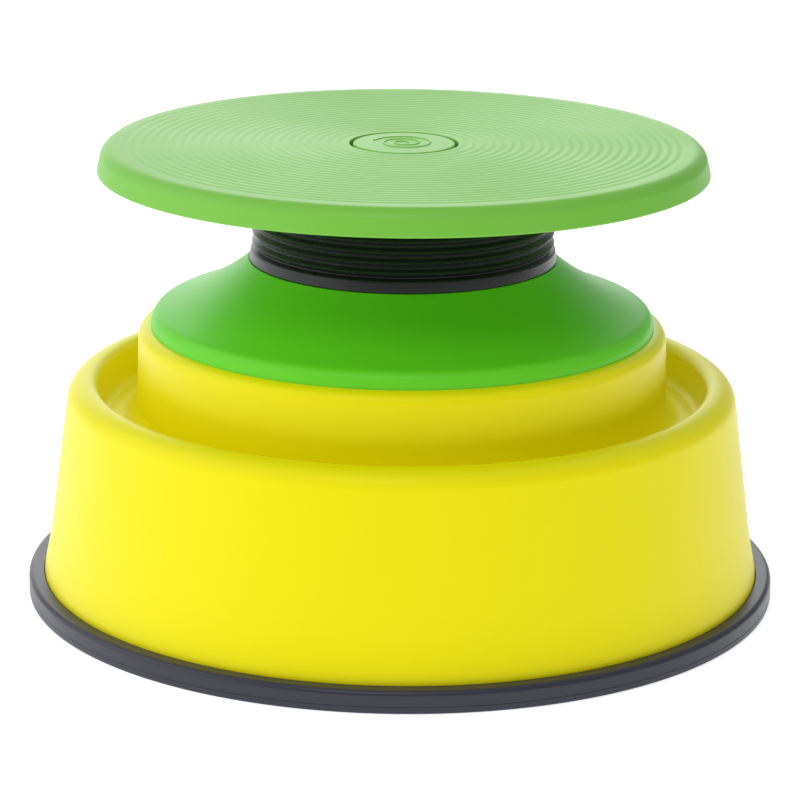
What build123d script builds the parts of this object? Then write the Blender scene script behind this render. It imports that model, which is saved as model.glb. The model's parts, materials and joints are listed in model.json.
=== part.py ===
from build123d import *
import os
from math import acos, cos, pi, radians, sin, tan

# Tabletop pottery wheel: splash base with a moat, ribbed neck and a geared motor drive.
# Millimetres. +Z is the spin axis, the origin is the bottom centre of the foot ring,
# the front faces -Y and the switch is in the back wall at +Y.

os.makedirs("parts", exist_ok=True)

# ---------------------------------------------------------------- driving dimensions
fit = 0.05
contact_gap = 0.3

head_radius = 101.0
head_top = 152.0
head_edge = 8.8
head_plate = 3.0
head_skirt = 2.6
head_draft = 2.0
head_round = 4.5
cap_radius = 16.9
cap_gap = 1.0
cap_seat = 147.4
cap_plate = 2.6
cap_round = 0.6
cap_skirt_inset = 2.0
cap_skirt = 2.0
pocket_wall_radius = 20.9
hub_radius = 11.0
hub_bottom = 124.0
head_rib_count = 12
head_rib_width = 2.0
head_rib_depth = 3.5
head_rib_overlap = 1.0
drip_radius = 60.0
drip_depth = 4.2

ring_radius = 125.7
ring_height = 7.5
ring_inner_radius = 109.0
ring_top_round = 1.8
ring_bottom_round = 0.8
skirt_radius = 120.4
skirt_foot = 3.2
skirt_stand = 0.8
skirt_round = 12.0
wall_low_radius = 118.0
wall_low = 20.0
wall_round = 40.0
rim_radius = 111.0
rim_inner_radius = 102.0
rim_top = 72.8
rim_outer_round = 6.8
rim_inner_round = 3.1
moat_floor = 60.0
moat_outer_radius = 100.4
moat_inner_radius = 88.7
moat_outer_round = 2.8
moat_inner_round = 5.5
pedestal_radius = 87.9
deck_top = 91.0
deck_round = 4.0
shell = 2.8
deck_hole_radius = 24.0

cone_radius = 83.7
cone_lip_low = deck_top
cone_shell = 2.6
cone_seat_radius = 51.4
cone_hollow = (58.0, 107.7)
cone_waist = (66.0, 103.1)
cone_swell = (74.0, 99.2)
cone_brow = (80.4, 96.7)
cone_lip = (83.0, 94.7)
cone_waist_slope = (8.0, -4.1)
cone_brow_slope = (6.4, -2.0)
inner_seat = (50.0, 110.8)
inner_hollow = (56.5, 105.5)
inner_waist = (64.9, 100.6)
inner_swell = (73.0, 96.6)
inner_brow = (79.4, 94.2)
inner_lip = (81.0, 92.9)
cover_boss_radius = 3.4
cover_boss_height = 6.4
neck_seat = 113.4
sleeve_radius = 46.4
sleeve_top = 139.5
collar_radius = 51.0
collar_top = 117.2
collar_taper = 0.5
collar_step = 0.7
rib_radius = 50.1
rib_root_radius = 48.9
rib_pitch = 3.45
rib_count = 6
boot_lip = 1.5

spindle_radius = 5.0
spindle_flat = 4.2
spindle_bottom = 55.0
spindle_top = 138.6
spindle_chamfer = 0.6
tapped_depth = 12.0
head_screw_radius = 2.5
head_screw_clear = 2.7
head_screw_head_radius = 4.7
head_screw_head_height = 3.0
head_screw_length = 14.0
hex_socket_radius = 2.0
hex_socket_depth = 1.0
screw_seat = 142.6
screw_pocket_radius = 7.6
head_washer_radius = 7.0
clip_groove = 57.0
clip_groove_width = 1.1
clip_groove_depth = 0.6
clip_reach = 1.6
clip_opening = 4.0
clip_thickness = 1.0
clip_washer_radius = 8.5
housing_radius = 11.0
housing_bore = 6.2
housing_flange_radius = 48.5
housing_flange = 3.0
housing_top = 121.0
housing_rib_count = 6
housing_rib = 2.4
housing_rib_reach = 36.0
housing_rib_drop = 4.0
spigot_depth = 3.8
spigot_gap = 0.2
bush_radius = 7.0
bush_flange_radius = 9.0
bush_flange = 1.0
bush_length = 12.0
washer_thickness = 1.0

main_teeth = 60
main_module = 1.0
pinion_teeth = 12
idler_teeth = 48
idler_module = 0.8
tooth_addendum = 0.72
tooth_dedendum = 0.98
backlash = 0.07
pressure_angle = radians(20)
idler_distance = main_module * (main_teeth + pinion_teeth) / 2
motor_distance = idler_distance + idler_module * (idler_teeth + pinion_teeth) / 2

gear_plate_low = 68.0
gear_plate_top = 71.0
gear_plate_radius = 49.0
plate_boss_radius = 9.5
plate_boss_low = 60.0
first_stage_low = 72.8
first_stage_top = 77.4
main_gear_low = 78.2
main_gear_top = 84.0
gear_hub_radius = 10.0
gear_hub_low = 72.4
web_hole_circle = 19.0
web_hole_count = 6
web_hole_radius = 6.0
pinion_rise = 0.4
idler_pin_radius = 2.0
idler_pin_low = 65.0
idler_pin_top = 89.6
pin_boss_radius = 4.5
pin_boss_low = 85.2
drive_pin_radius = 1.5
drive_pin_z = 75.2
drive_pin_inset = 0.4

post_radius = 4.0
post_circle = 43.0
post_angles = (45, 135, 225, 315)
boss_circle = 98.0
boss_radius = 4.5
boss_count = 6
cover_screw_circle = 74.0
cover_screw_count = 6

screw_radius = 1.5
screw_clear = 1.7
screw_head_radius = 2.9
screw_head_height = 1.8
case_screw_length = 14.0
post_screw_length = 11.0
cover_screw_length = shell + 4.0
door_screw_length = 7.8

plate_top = 6.0
plate_radius = 117.3
tray_half_width = 60.0
tray_front = -76.0
tray_back = -16.0
tray_wall = 2.0
tray_top = 34.0
tray_round = 4.0
door_top = 5.2
door_ledge = 1.3
door_gap = 0.4
door_tab_width = 16.0
door_tab_reach = 12.0
door_screw_boss = 12.0
door_boss_radius = 3.9
grip_pitch = 5.0
grip_count = 5
grip_length = 20.0
grip_width = 2.0
grip_depth = 0.8
cradle_width = 3.0
cell_radius = 13.1
cell_length = 50.0
cell_nub = 1.5
cell_nub_radius = 3.2
cell_round = 0.8
cell_z = 20.4
cell_rows = (-32.0, -60.0)
contact_thickness = 0.5
contact_width = 14.0
contact_tab = 4.0
spring_radius = 4.2
spring_wire = 0.4
spring_pitch = 2.2

motor_radius = 13.85
motor_wall = 1.0
motor_bottom = 30.0
motor_cap_bottom = 27.0
motor_nose_radius = 5.0
motor_nose_top = 70.5
motor_shaft_radius = 1.15
motor_shaft_bottom = 26.0
motor_shaft_top = 78.4
motor_screw_reach = 8.0
motor_round = 1.0
motor_margin = 6.0
endcap_insert = 3.0
armature_radius = 9.8
armature_low = 36.0
armature_high = 58.0
slot_mouth = 1.4
slot_depth = 4.0
slot_radius = 2.0
magnet_inner_radius = 10.4
magnet_overhang = 1.0
magnet_gap = 9.0
terminal_length = 4.0
terminal_width = 3.0
terminal_thickness = 0.5

switch_z = 38.0
switch_face = 111.5
switch_backing = 3.0
backing_margin = 4.0
backing_round = 3.0
backing_proud = 0.8
recess_margin = 0.5
recess_round = 1.5
bezel_width = 21.0
bezel_height = 15.0
bezel_lip = 1.6
bezel_round = 1.0
switch_body_width = 18.6
switch_body_height = 12.6
switch_depth = 13.0
switch_floor = 1.5
rocker_half_width = 7.4
rocker_height = 9.0
rocker_pivot = 108.6
rocker_crest = 4.6
rocker_dip = 1.4
rocker_shoulder = 1.5
rocker_foot = 5.5
rocker_foot_half_width = 1.6
rocker_side_gap = 1.2
rocker_stub_radius = 1.2
rocker_stub = 1.0
terminal_reach = 5.0
terminal_spacing = 10.0
blade_width = 4.8
blade_thickness = 0.8

wire_radius = 0.8
bend_share = 0.45

tray_depth = tray_back - tray_front
tray_middle = (tray_back + tray_front) / 2
door_seat_half_width = tray_half_width - tray_wall + door_ledge
door_seat_depth = tray_depth - 2 * (tray_wall - door_ledge)
head_low = head_top - head_edge
plate_under = head_top - head_plate
contact_x = tray_half_width - tray_wall - contact_thickness
door_screw_y = tray_back + door_tab_reach / 2
switch_plane = Plane(origin=(0, switch_face, switch_z), x_dir=(1, 0, 0), z_dir=(0, 1, 0))
post_places = [
    (post_circle * cos(radians(angle)), post_circle * sin(radians(angle))) for angle in post_angles
]


def finish(builder, name):
    """Label a finished piece and write its file."""
    builder.part.label = name
    export_step(builder.part, f"parts/{name}.step")


def involute(angle):
    """Involute function of an angle in radians."""
    return tan(angle) - angle


def gear_outline(plane, teeth, module, phase, bore):
    """Spur gear face with stub involute teeth, one of them centred at the phase angle."""
    pitch = module * teeth / 2
    base = pitch * cos(pressure_angle)
    tip = pitch + tooth_addendum * module
    root = pitch - tooth_dedendum * module
    half_tooth = pi / (2 * teeth) - backlash / pitch + involute(pressure_angle)
    start = max(base, root)
    radii = [start + (tip - start) * step / 3 for step in range(4)]
    angles = [half_tooth - involute(acos(base / radius)) for radius in radii]
    flank = [(radius * cos(angle), radius * sin(angle)) for radius, angle in zip(radii, angles)]
    foot = ((root - module) * cos(angles[0]), (root - module) * sin(angles[0]))
    with BuildSketch(plane) as outline:
        Circle(root)
        with PolarLocations(0, teeth, start_angle=phase):
            with BuildSketch(mode=Mode.PRIVATE) as tooth:
                with BuildLine():
                    Line(foot, flank[0])
                    Spline(*flank)
                    ThreePointArc(flank[-1], (tip, 0), (flank[-1][0], -flank[-1][1]))
                    Spline(*[(x, -y) for x, y in reversed(flank)])
                    Line((flank[0][0], -flank[0][1]), (foot[0], -foot[1]))
                    Line((foot[0], -foot[1]), foot)
                make_face()
            add(tooth.sketch)
        Circle(bore, mode=Mode.SUBTRACT)
    return outline


def screws(name, seats, length):
    """Write a group of cross-recess pan screws; each seat's normal points along the shank."""
    with BuildPart() as group:
        for seat in seats:
            with BuildSketch(seat.offset(-screw_head_height)):
                Circle(screw_head_radius)
            extrude(amount=screw_head_height)
            with BuildSketch(seat):
                Circle(screw_radius)
            extrude(amount=length)
            with BuildSketch(seat.offset(-screw_head_height)):
                Rectangle(screw_head_radius, screw_head_radius / 4)
                Rectangle(screw_head_radius / 4, screw_head_radius)
            extrude(amount=screw_head_height / 2, mode=Mode.SUBTRACT)
    finish(group, name)


def ring_piece(name, plane, outer, inner, length):
    """Write a plain washer, bush or sleeve."""
    with BuildPart() as piece:
        with BuildSketch(plane):
            Circle(outer)
            Circle(inner, mode=Mode.SUBTRACT)
        extrude(amount=length)
    finish(piece, name)


def flanged_bush(name, top):
    """Write a flanged sintered bush that hangs down from its flange."""
    with BuildPart() as bush:
        with BuildSketch(Plane.XY.offset(top - bush_length)):
            Circle(bush_radius)
        extrude(amount=bush_length)
        with BuildSketch(Plane.XY.offset(top - bush_flange)):
            Circle(bush_flange_radius)
        extrude(amount=bush_flange)
        with BuildSketch(Plane.XY.offset(top - bush_length)):
            Circle(spindle_radius + fit)
        extrude(amount=bush_length, mode=Mode.SUBTRACT)
    finish(bush, name)


# ---------------------------------------------------------------- splash base and foot ring
with BuildPart() as splash_base:
    with BuildSketch(Plane.XZ):
        with BuildLine():
            FilletPolyline(
                (skirt_radius, skirt_foot),
                (skirt_radius, ring_height + skirt_stand),
                (wall_low_radius, wall_low),
                (rim_radius, rim_top),
                (rim_inner_radius, rim_top),
                (moat_outer_radius, moat_floor),
                (moat_inner_radius, moat_floor),
                (pedestal_radius, deck_top),
                (deck_hole_radius, deck_top),
                radius=[
                    skirt_round,
                    wall_round,
                    rim_outer_round,
                    rim_inner_round,
                    moat_outer_round,
                    moat_inner_round,
                    deck_round,
                ],
            )
            offset(amount=shell, side=Side.LEFT)
        make_face()
    revolve(axis=Axis.Z)
    with BuildSketch(Plane.XY.offset(plate_top)):
        with PolarLocations(boss_circle, boss_count):
            Circle(boss_radius)
            Circle(screw_radius, mode=Mode.SUBTRACT)
    extrude(amount=moat_floor - plate_top - shell / 2)
    with BuildSketch(Plane.XY.offset(gear_plate_top)):
        with Locations(*post_places):
            Circle(post_radius)
    extrude(amount=deck_top - gear_plate_top)
    with BuildSketch(Plane.XY.offset(gear_plate_top)):
        with Locations(*post_places):
            Circle(screw_radius)
    extrude(amount=deck_top - gear_plate_top, mode=Mode.SUBTRACT)
    with BuildSketch(Plane.XY.offset(pin_boss_low)):
        with Locations((0, idler_distance)):
            Circle(pin_boss_radius)
    extrude(amount=deck_top - shell / 2 - pin_boss_low)
    with BuildSketch(Plane.XY.offset(pin_boss_low)):
        with Locations((0, idler_distance)):
            Circle(idler_pin_radius)
    extrude(amount=idler_pin_top - pin_boss_low, mode=Mode.SUBTRACT)
    with BuildSketch(Plane.XY.offset(deck_top - shell)):
        with PolarLocations(cover_screw_circle, cover_screw_count):
            Circle(screw_clear)
    extrude(amount=shell, mode=Mode.SUBTRACT)
    with BuildSketch(switch_plane.offset(-switch_backing)):
        RectangleRounded(bezel_width + 2 * backing_margin, bezel_height + 2 * backing_margin, backing_round)
    extrude(amount=switch_backing + backing_proud)
    with BuildSketch(switch_plane):
        RectangleRounded(bezel_width + 2 * recess_margin, bezel_height + 2 * recess_margin, recess_round)
    extrude(amount=ring_radius - switch_face, mode=Mode.SUBTRACT)
    with BuildSketch(switch_plane.offset(-switch_backing)):
        Rectangle(switch_body_width + 2 * fit, switch_body_height + 2 * fit)
    extrude(amount=switch_backing, mode=Mode.SUBTRACT)
finish(splash_base, "splash_base")

with BuildPart() as foot_ring:
    with BuildSketch(Plane.XZ):
        with BuildLine():
            Polyline(
                (ring_inner_radius, 0),
                (ring_radius, 0),
                (ring_radius, ring_height),
                (skirt_radius, ring_height),
                (skirt_radius, skirt_foot),
                (ring_inner_radius, skirt_foot),
                close=True,
            )
        make_face()
    revolve(axis=Axis.Z)
    rim_edges = foot_ring.edges().filter_by(GeomType.CIRCLE).group_by(SortBy.RADIUS)[-1].sort_by(Axis.Z)
    fillet(rim_edges[-1], radius=ring_top_round)
    fillet(rim_edges[0], radius=ring_bottom_round)
finish(foot_ring, "foot_ring")

# ---------------------------------------------------------------- bottom plate and battery bay
with BuildPart() as bottom_plate:
    with BuildSketch(Plane.XY.offset(skirt_foot)):
        Circle(plate_radius)
    extrude(amount=plate_top - skirt_foot)
    with BuildSketch(Plane.XY.offset(skirt_foot)):
        with Locations((0, tray_middle)):
            RectangleRounded(2 * tray_half_width, tray_depth, tray_round)
    extrude(amount=tray_top - skirt_foot)
    with BuildSketch(Plane.XY.offset(skirt_foot)):
        with Locations((0, tray_middle)):
            Rectangle(2 * (tray_half_width - tray_wall), tray_depth - 2 * tray_wall)
    extrude(amount=tray_top - skirt_foot, mode=Mode.SUBTRACT)
    with BuildSketch(Plane.XY.offset(plate_top)):
        with Locations((0, door_screw_y)):
            Circle(door_boss_radius)
    extrude(amount=door_screw_boss - plate_top)
    with BuildSketch(Plane.XY.offset(skirt_foot)):
        with Locations((0, door_screw_y)):
            Circle(screw_radius)
    extrude(amount=door_screw_boss - skirt_foot, mode=Mode.SUBTRACT)
    with BuildSketch(Plane.XY.offset(skirt_foot)):
        with Locations((0, tray_middle)):
            Rectangle(2 * door_seat_half_width, door_seat_depth)
        with Locations((0, door_screw_y - 2 * door_ledge)):
            Rectangle(door_tab_width, door_tab_reach + 2 * door_ledge)
    extrude(amount=door_top - skirt_foot, mode=Mode.SUBTRACT)
    with BuildSketch(Plane.XY.offset(skirt_foot)):
        with PolarLocations(boss_circle, boss_count):
            Circle(screw_clear)
    extrude(amount=plate_top - skirt_foot, mode=Mode.SUBTRACT)
    with BuildSketch(Plane.XY.offset(skirt_foot)):
        with PolarLocations(boss_circle, boss_count):
            Circle(screw_head_radius + contact_gap)
    extrude(amount=screw_head_height, mode=Mode.SUBTRACT)
finish(bottom_plate, "bottom_plate")

with BuildPart() as battery_door:
    with BuildSketch(Plane.XY.offset(skirt_foot)):
        with Locations((0, tray_middle)):
            Rectangle(2 * (door_seat_half_width - door_gap), door_seat_depth - 2 * door_gap)
        with Locations((0, door_screw_y - 2 * door_ledge)):
            Rectangle(door_tab_width - 2 * door_gap, door_tab_reach + 2 * door_ledge - 2 * door_gap)
    extrude(amount=door_top - skirt_foot)
    with BuildSketch(Plane.XY.offset(door_top)):
        for row in cell_rows:
            with Locations((-cell_length / 2, row), (cell_length / 2, row)):
                Rectangle(cradle_width, cell_radius)
    extrude(amount=cell_z - cell_radius)
    for row in cell_rows:
        with BuildSketch(Plane.YZ.offset(-cell_length)):
            with Locations((row, cell_z)):
                Circle(cell_radius + fit)
        extrude(amount=2 * cell_length, mode=Mode.SUBTRACT)
    with BuildSketch(Plane.XY.offset(skirt_foot)):
        with Locations((0, door_screw_y)):
            Circle(screw_clear)
    extrude(amount=door_top - skirt_foot, mode=Mode.SUBTRACT)
    with BuildSketch(Plane.XY.offset(skirt_foot)):
        with Locations((0, tray_middle)):
            with GridLocations(grip_pitch, 0, grip_count, 1):
                SlotOverall(grip_length, grip_width, rotation=90)
    extrude(amount=grip_depth, mode=Mode.SUBTRACT)
finish(battery_door, "battery_door")

door_seat = Plane(origin=(0, door_screw_y, skirt_foot), z_dir=(0, 0, 1))
screws("door_screw", [door_seat], door_screw_length)

case_seats = [
    Plane(origin=(location.position.X, location.position.Y, skirt_foot + screw_head_height), z_dir=(0, 0, 1))
    for location in PolarLocations(boss_circle, boss_count)
]
screws("case_screws", case_seats, case_screw_length)

for index, (row, side) in enumerate((row, side) for row in cell_rows for side in (-1, 1)):
    facing = 1 if row == cell_rows[0] else -1
    outer_end = side * cell_length / 2 - facing * cell_length / 2
    with BuildPart() as cell:
        with BuildSketch(Plane(origin=(outer_end, row, cell_z), z_dir=(facing, 0, 0))):
            Circle(cell_radius)
        extrude(amount=cell_length - cell_nub)
        fillet(cell.edges().filter_by(GeomType.CIRCLE), radius=cell_round)
        nub_x = outer_end + facing * (cell_length - cell_nub)
        with BuildSketch(Plane(origin=(nub_x, row, cell_z), z_dir=(facing, 0, 0))):
            Circle(cell_nub_radius)
        extrude(amount=cell_nub)
    finish(cell, f"battery_cell_{index + 1}")

with BuildPart() as contact_plates:
    for side in (-1, 1):
        for row in cell_rows:
            with BuildSketch(Plane(origin=(side * contact_x, row, cell_z), z_dir=(side, 0, 0))):
                Rectangle(contact_width, contact_width)
            extrude(amount=contact_thickness)
    bridge_width = cell_rows[0] - cell_rows[1]
    bridge_plane = Plane(origin=(contact_x, sum(cell_rows) / 2, cell_z), x_dir=(0, 1, 0), z_dir=(1, 0, 0))
    with BuildSketch(bridge_plane):
        Rectangle(bridge_width, contact_width / 2)
    extrude(amount=contact_thickness)
    for row in cell_rows:
        tab_middle = (cell_z + tray_top + contact_tab) / 2
        tab_plane = Plane(origin=(-contact_x, row, tab_middle), x_dir=(0, 1, 0), z_dir=(-1, 0, 0))
        with BuildSketch(tab_plane):
            Rectangle(contact_tab, tray_top + contact_tab - cell_z)
        extrude(amount=contact_thickness)
finish(contact_plates, "contact_plates")

with BuildPart() as contact_springs:
    for side in (-1, 1):
        for row in cell_rows:
            reach = contact_x - cell_length - 2 * spring_wire
            start = (side * (contact_x - spring_wire), row, cell_z)
            with BuildLine() as coil:
                Helix(spring_pitch, reach, spring_radius, center=start, direction=(-side, 0, 0))
            with BuildSketch(Plane(origin=coil.line @ 0, z_dir=coil.line % 0)):
                Circle(spring_wire)
            sweep(path=coil.line, is_frenet=True)
finish(contact_springs, "contact_springs")

# ---------------------------------------------------------------- bearing housing, bushes and spindle
with BuildPart() as bearing_housing:
    with BuildSketch(Plane.XY.offset(deck_top)):
        Circle(housing_flange_radius)
    extrude(amount=housing_flange)
    with BuildSketch(Plane.XY.offset(deck_top - spigot_depth)):
        Circle(deck_hole_radius - spigot_gap)
    extrude(amount=spigot_depth)
    with BuildSketch(Plane.XY.offset(deck_top)):
        Circle(housing_radius)
    extrude(amount=housing_top - deck_top)
    for rib in range(housing_rib_count):
        rib_plane = Plane.XZ.rotated((0, 0, rib * 360 / housing_rib_count))
        with BuildSketch(rib_plane.offset(-housing_rib / 2)):
            with BuildLine():
                Polyline(
                    (bush_flange_radius, deck_top + housing_flange),
                    (housing_rib_reach, deck_top + housing_flange),
                    (bush_flange_radius, housing_top - housing_rib_drop),
                    close=True,
                )
            make_face()
        extrude(amount=housing_rib)
    with BuildSketch(Plane.XY.offset(deck_top - spigot_depth)):
        Circle(housing_bore)
    extrude(amount=housing_top - deck_top + spigot_depth, mode=Mode.SUBTRACT)
    with BuildSketch(Plane.XY.offset(housing_top + bush_flange - bush_length)):
        Circle(bush_radius)
    extrude(amount=bush_length, mode=Mode.SUBTRACT)
    with BuildSketch(Plane.XY.offset(deck_top)):
        with Locations(*post_places):
            Circle(screw_clear)
    extrude(amount=housing_flange, mode=Mode.SUBTRACT)
finish(bearing_housing, "bearing_housing")

housing_seats = [Plane(origin=(x, y, deck_top + housing_flange), z_dir=(0, 0, -1)) for x, y in post_places]
screws("housing_screws", housing_seats, post_screw_length)

flanged_bush("upper_bush", housing_top + bush_flange)
flanged_bush("lower_bush", gear_plate_top + bush_flange)
thrust_plane = Plane.XY.offset(housing_top + bush_flange)
ring_piece("thrust_washer", thrust_plane, bush_flange_radius, spindle_radius + 2 * fit, washer_thickness)

with BuildPart() as spindle:
    with BuildSketch(Plane.XY.offset(spindle_bottom)):
        Circle(spindle_radius)
    extrude(amount=spindle_top - spindle_bottom)
    chamfer(spindle.edges().filter_by(GeomType.CIRCLE), length=spindle_chamfer)
    with BuildSketch(Plane.XY.offset(hub_bottom)):
        with Locations((2 * spindle_radius, 0)):
            Rectangle(2 * (2 * spindle_radius - spindle_flat), 4 * spindle_radius)
    extrude(amount=spindle_top - hub_bottom, mode=Mode.SUBTRACT)
    with BuildSketch(Plane.XY.offset(spindle_top - tapped_depth)):
        Circle(head_screw_radius)
    extrude(amount=tapped_depth, mode=Mode.SUBTRACT)
    with BuildSketch(Plane.XY.offset(clip_groove)):
        Circle(spindle_radius)
        Circle(spindle_radius - clip_groove_depth, mode=Mode.SUBTRACT)
    extrude(amount=clip_groove_width, mode=Mode.SUBTRACT)
    with BuildSketch(Plane.XZ.offset(-spindle_radius)):
        with Locations((0, drive_pin_z)):
            Circle(drive_pin_radius)
    extrude(amount=2 * spindle_radius, mode=Mode.SUBTRACT)
finish(spindle, "spindle")

with BuildPart() as retaining_clip:
    with BuildSketch(Plane.XY.offset(clip_groove + fit)):
        Circle(spindle_radius + clip_reach)
        Circle(spindle_radius - clip_groove_depth, mode=Mode.SUBTRACT)
        with Locations((0, -spindle_radius)):
            Rectangle(clip_opening, 2 * spindle_radius, mode=Mode.SUBTRACT)
    extrude(amount=clip_thickness)
finish(retaining_clip, "retaining_clip")
clip_washer_plane = Plane.XY.offset(clip_groove + clip_groove_width)
ring_piece("clip_washer", clip_washer_plane, clip_washer_radius, spindle_radius + 2 * fit, washer_thickness)

# ---------------------------------------------------------------- gear train
with BuildPart() as gear_plate:
    with BuildSketch(Plane.XY.offset(gear_plate_low)):
        Circle(gear_plate_radius)
        with Locations((0, motor_distance / 2)):
            Rectangle(2 * (motor_radius + motor_margin), motor_distance)
        with Locations((0, motor_distance)):
            Circle(motor_radius + motor_margin)
    extrude(amount=gear_plate_top - gear_plate_low)
    with BuildSketch(Plane.XY.offset(plate_boss_low)):
        Circle(plate_boss_radius)
    extrude(amount=gear_plate_top - plate_boss_low)
    with BuildSketch(Plane.XY.offset(idler_pin_low)):
        with Locations((0, idler_distance)):
            Circle(pin_boss_radius)
    extrude(amount=gear_plate_top - idler_pin_low)
    with BuildSketch(Plane.XY.offset(plate_boss_low)):
        Circle(bush_radius)
    extrude(amount=gear_plate_top - plate_boss_low, mode=Mode.SUBTRACT)
    with BuildSketch(Plane.XY.offset(idler_pin_low)):
        with Locations((0, idler_distance)):
            Circle(idler_pin_radius)
    extrude(amount=gear_plate_top - idler_pin_low, mode=Mode.SUBTRACT)
    with BuildSketch(Plane.XY.offset(gear_plate_low)):
        with Locations((0, motor_distance)):
            Circle(motor_nose_radius + fit)
        with Locations((-motor_screw_reach, motor_distance), (motor_screw_reach, motor_distance)):
            Circle(screw_clear)
        with Locations(*post_places):
            Circle(screw_clear)
    extrude(amount=gear_plate_top - gear_plate_low, mode=Mode.SUBTRACT)
finish(gear_plate, "gear_plate")

plate_seats = [Plane(origin=(x, y, gear_plate_low), z_dir=(0, 0, 1)) for x, y in post_places]
screws("gear_plate_screws", plate_seats, post_screw_length)
motor_seats = [
    Plane(origin=(side * motor_screw_reach, motor_distance, gear_plate_top), z_dir=(0, 0, -1))
    for side in (-1, 1)
]
screws("motor_screws", motor_seats, gear_plate_top - gear_plate_low + motor_wall)

with BuildPart() as main_gear:
    web = gear_outline(Plane.XY.offset(main_gear_low), main_teeth, main_module, 0, spindle_radius)
    extrude(web.sketch, amount=main_gear_top - main_gear_low)
    with BuildSketch(Plane.XY.offset(gear_hub_low)):
        Circle(gear_hub_radius)
        Circle(spindle_radius, mode=Mode.SUBTRACT)
    extrude(amount=main_gear_low - gear_hub_low)
    with BuildSketch(Plane.XY.offset(main_gear_low)):
        with PolarLocations(web_hole_circle, web_hole_count, start_angle=180 / web_hole_count):
            Circle(web_hole_radius)
    extrude(amount=main_gear_top - main_gear_low, mode=Mode.SUBTRACT)
    with BuildSketch(Plane.XZ.offset(-gear_hub_radius)):
        with Locations((0, drive_pin_z)):
            Circle(drive_pin_radius)
    extrude(amount=2 * gear_hub_radius, mode=Mode.SUBTRACT)
finish(main_gear, "main_gear")

with BuildPart() as drive_pin:
    with BuildSketch(Plane.XZ.offset(drive_pin_inset - gear_hub_radius)):
        with Locations((0, drive_pin_z)):
            Circle(drive_pin_radius)
    extrude(amount=2 * (gear_hub_radius - drive_pin_inset))
finish(drive_pin, "drive_pin")

pinion_phase = 180 / pinion_teeth
with BuildPart() as idler_gear:
    wheel_plane = Plane(origin=(0, idler_distance, first_stage_low))
    wheel = gear_outline(wheel_plane, idler_teeth, idler_module, 0, idler_pin_radius + fit)
    extrude(wheel.sketch, amount=first_stage_top - first_stage_low)
    step_plane = Plane(origin=(0, idler_distance, first_stage_top))
    step = gear_outline(step_plane, pinion_teeth, main_module, pinion_phase, idler_pin_radius + fit)
    extrude(step.sketch, amount=main_gear_top + pinion_rise - first_stage_top)
finish(idler_gear, "idler_gear")

with BuildPart() as idler_pin:
    with BuildSketch(Plane(origin=(0, idler_distance, idler_pin_low))):
        Circle(idler_pin_radius)
    extrude(amount=idler_pin_top - idler_pin_low)
finish(idler_pin, "idler_pin")

# ---------------------------------------------------------------- motor
motor_foot = Plane(origin=(0, motor_distance, motor_bottom))
with BuildPart() as motor_can:
    with BuildSketch(motor_foot):
        Circle(motor_radius)
    extrude(amount=gear_plate_low - motor_bottom)
    fillet(motor_can.edges().filter_by(GeomType.CIRCLE).sort_by(Axis.Z)[-1], radius=motor_round)
    with BuildSketch(Plane(origin=(0, motor_distance, gear_plate_low - motor_wall))):
        Circle(motor_nose_radius)
    extrude(amount=motor_nose_top - gear_plate_low + motor_wall)
    with BuildSketch(motor_foot):
        Circle(motor_radius - motor_wall)
    extrude(amount=gear_plate_low - motor_wall - motor_bottom, mode=Mode.SUBTRACT)
    with BuildSketch(motor_foot):
        Circle(motor_shaft_radius + fit)
        with Locations((-motor_screw_reach, 0), (motor_screw_reach, 0)):
            Circle(screw_radius)
    extrude(amount=motor_nose_top - motor_bottom, mode=Mode.SUBTRACT)
finish(motor_can, "motor_can")

with BuildPart() as motor_endcap:
    with BuildSketch(Plane(origin=(0, motor_distance, motor_cap_bottom))):
        Circle(motor_radius - motor_wall)
        Circle(motor_shaft_radius + fit, mode=Mode.SUBTRACT)
    extrude(amount=motor_bottom + endcap_insert - motor_cap_bottom)
    with BuildSketch(Plane(origin=(0, motor_distance, motor_cap_bottom - terminal_length))):
        with Locations((-motor_screw_reach, 0), (motor_screw_reach, 0)):
            Rectangle(terminal_thickness, terminal_width)
    extrude(amount=terminal_length)
finish(motor_endcap, "motor_endcap")

with BuildPart() as motor_magnets:
    with BuildSketch(Plane(origin=(0, motor_distance, armature_low - magnet_overhang))):
        Circle(motor_radius - motor_wall)
        Circle(magnet_inner_radius, mode=Mode.SUBTRACT)
        Rectangle(magnet_gap, 2 * motor_radius, mode=Mode.SUBTRACT)
    extrude(amount=armature_high - armature_low + 2 * magnet_overhang)
finish(motor_magnets, "motor_magnets")

with BuildPart() as armature:
    with BuildSketch(Plane(origin=(0, motor_distance, armature_low))):
        Circle(armature_radius)
        with PolarLocations(armature_radius - slot_depth / 2, 3):
            Rectangle(slot_depth, slot_mouth, mode=Mode.SUBTRACT)
        with PolarLocations(armature_radius - slot_depth, 3):
            Circle(slot_radius, mode=Mode.SUBTRACT)
        Circle(motor_shaft_radius, mode=Mode.SUBTRACT)
    extrude(amount=armature_high - armature_low)
finish(armature, "armature")

shaft_plane = Plane(origin=(0, motor_distance, motor_shaft_bottom))
with BuildPart() as motor_shaft:
    with BuildSketch(shaft_plane):
        Circle(motor_shaft_radius)
    extrude(amount=motor_shaft_top - motor_shaft_bottom)
finish(motor_shaft, "motor_shaft")

with BuildPart() as motor_pinion:
    drive_plane = Plane(origin=(0, motor_distance, first_stage_low))
    drive = gear_outline(drive_plane, pinion_teeth, idler_module, pinion_phase, motor_shaft_radius)
    extrude(drive.sketch, amount=first_stage_top - first_stage_low)
finish(motor_pinion, "motor_pinion")

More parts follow.
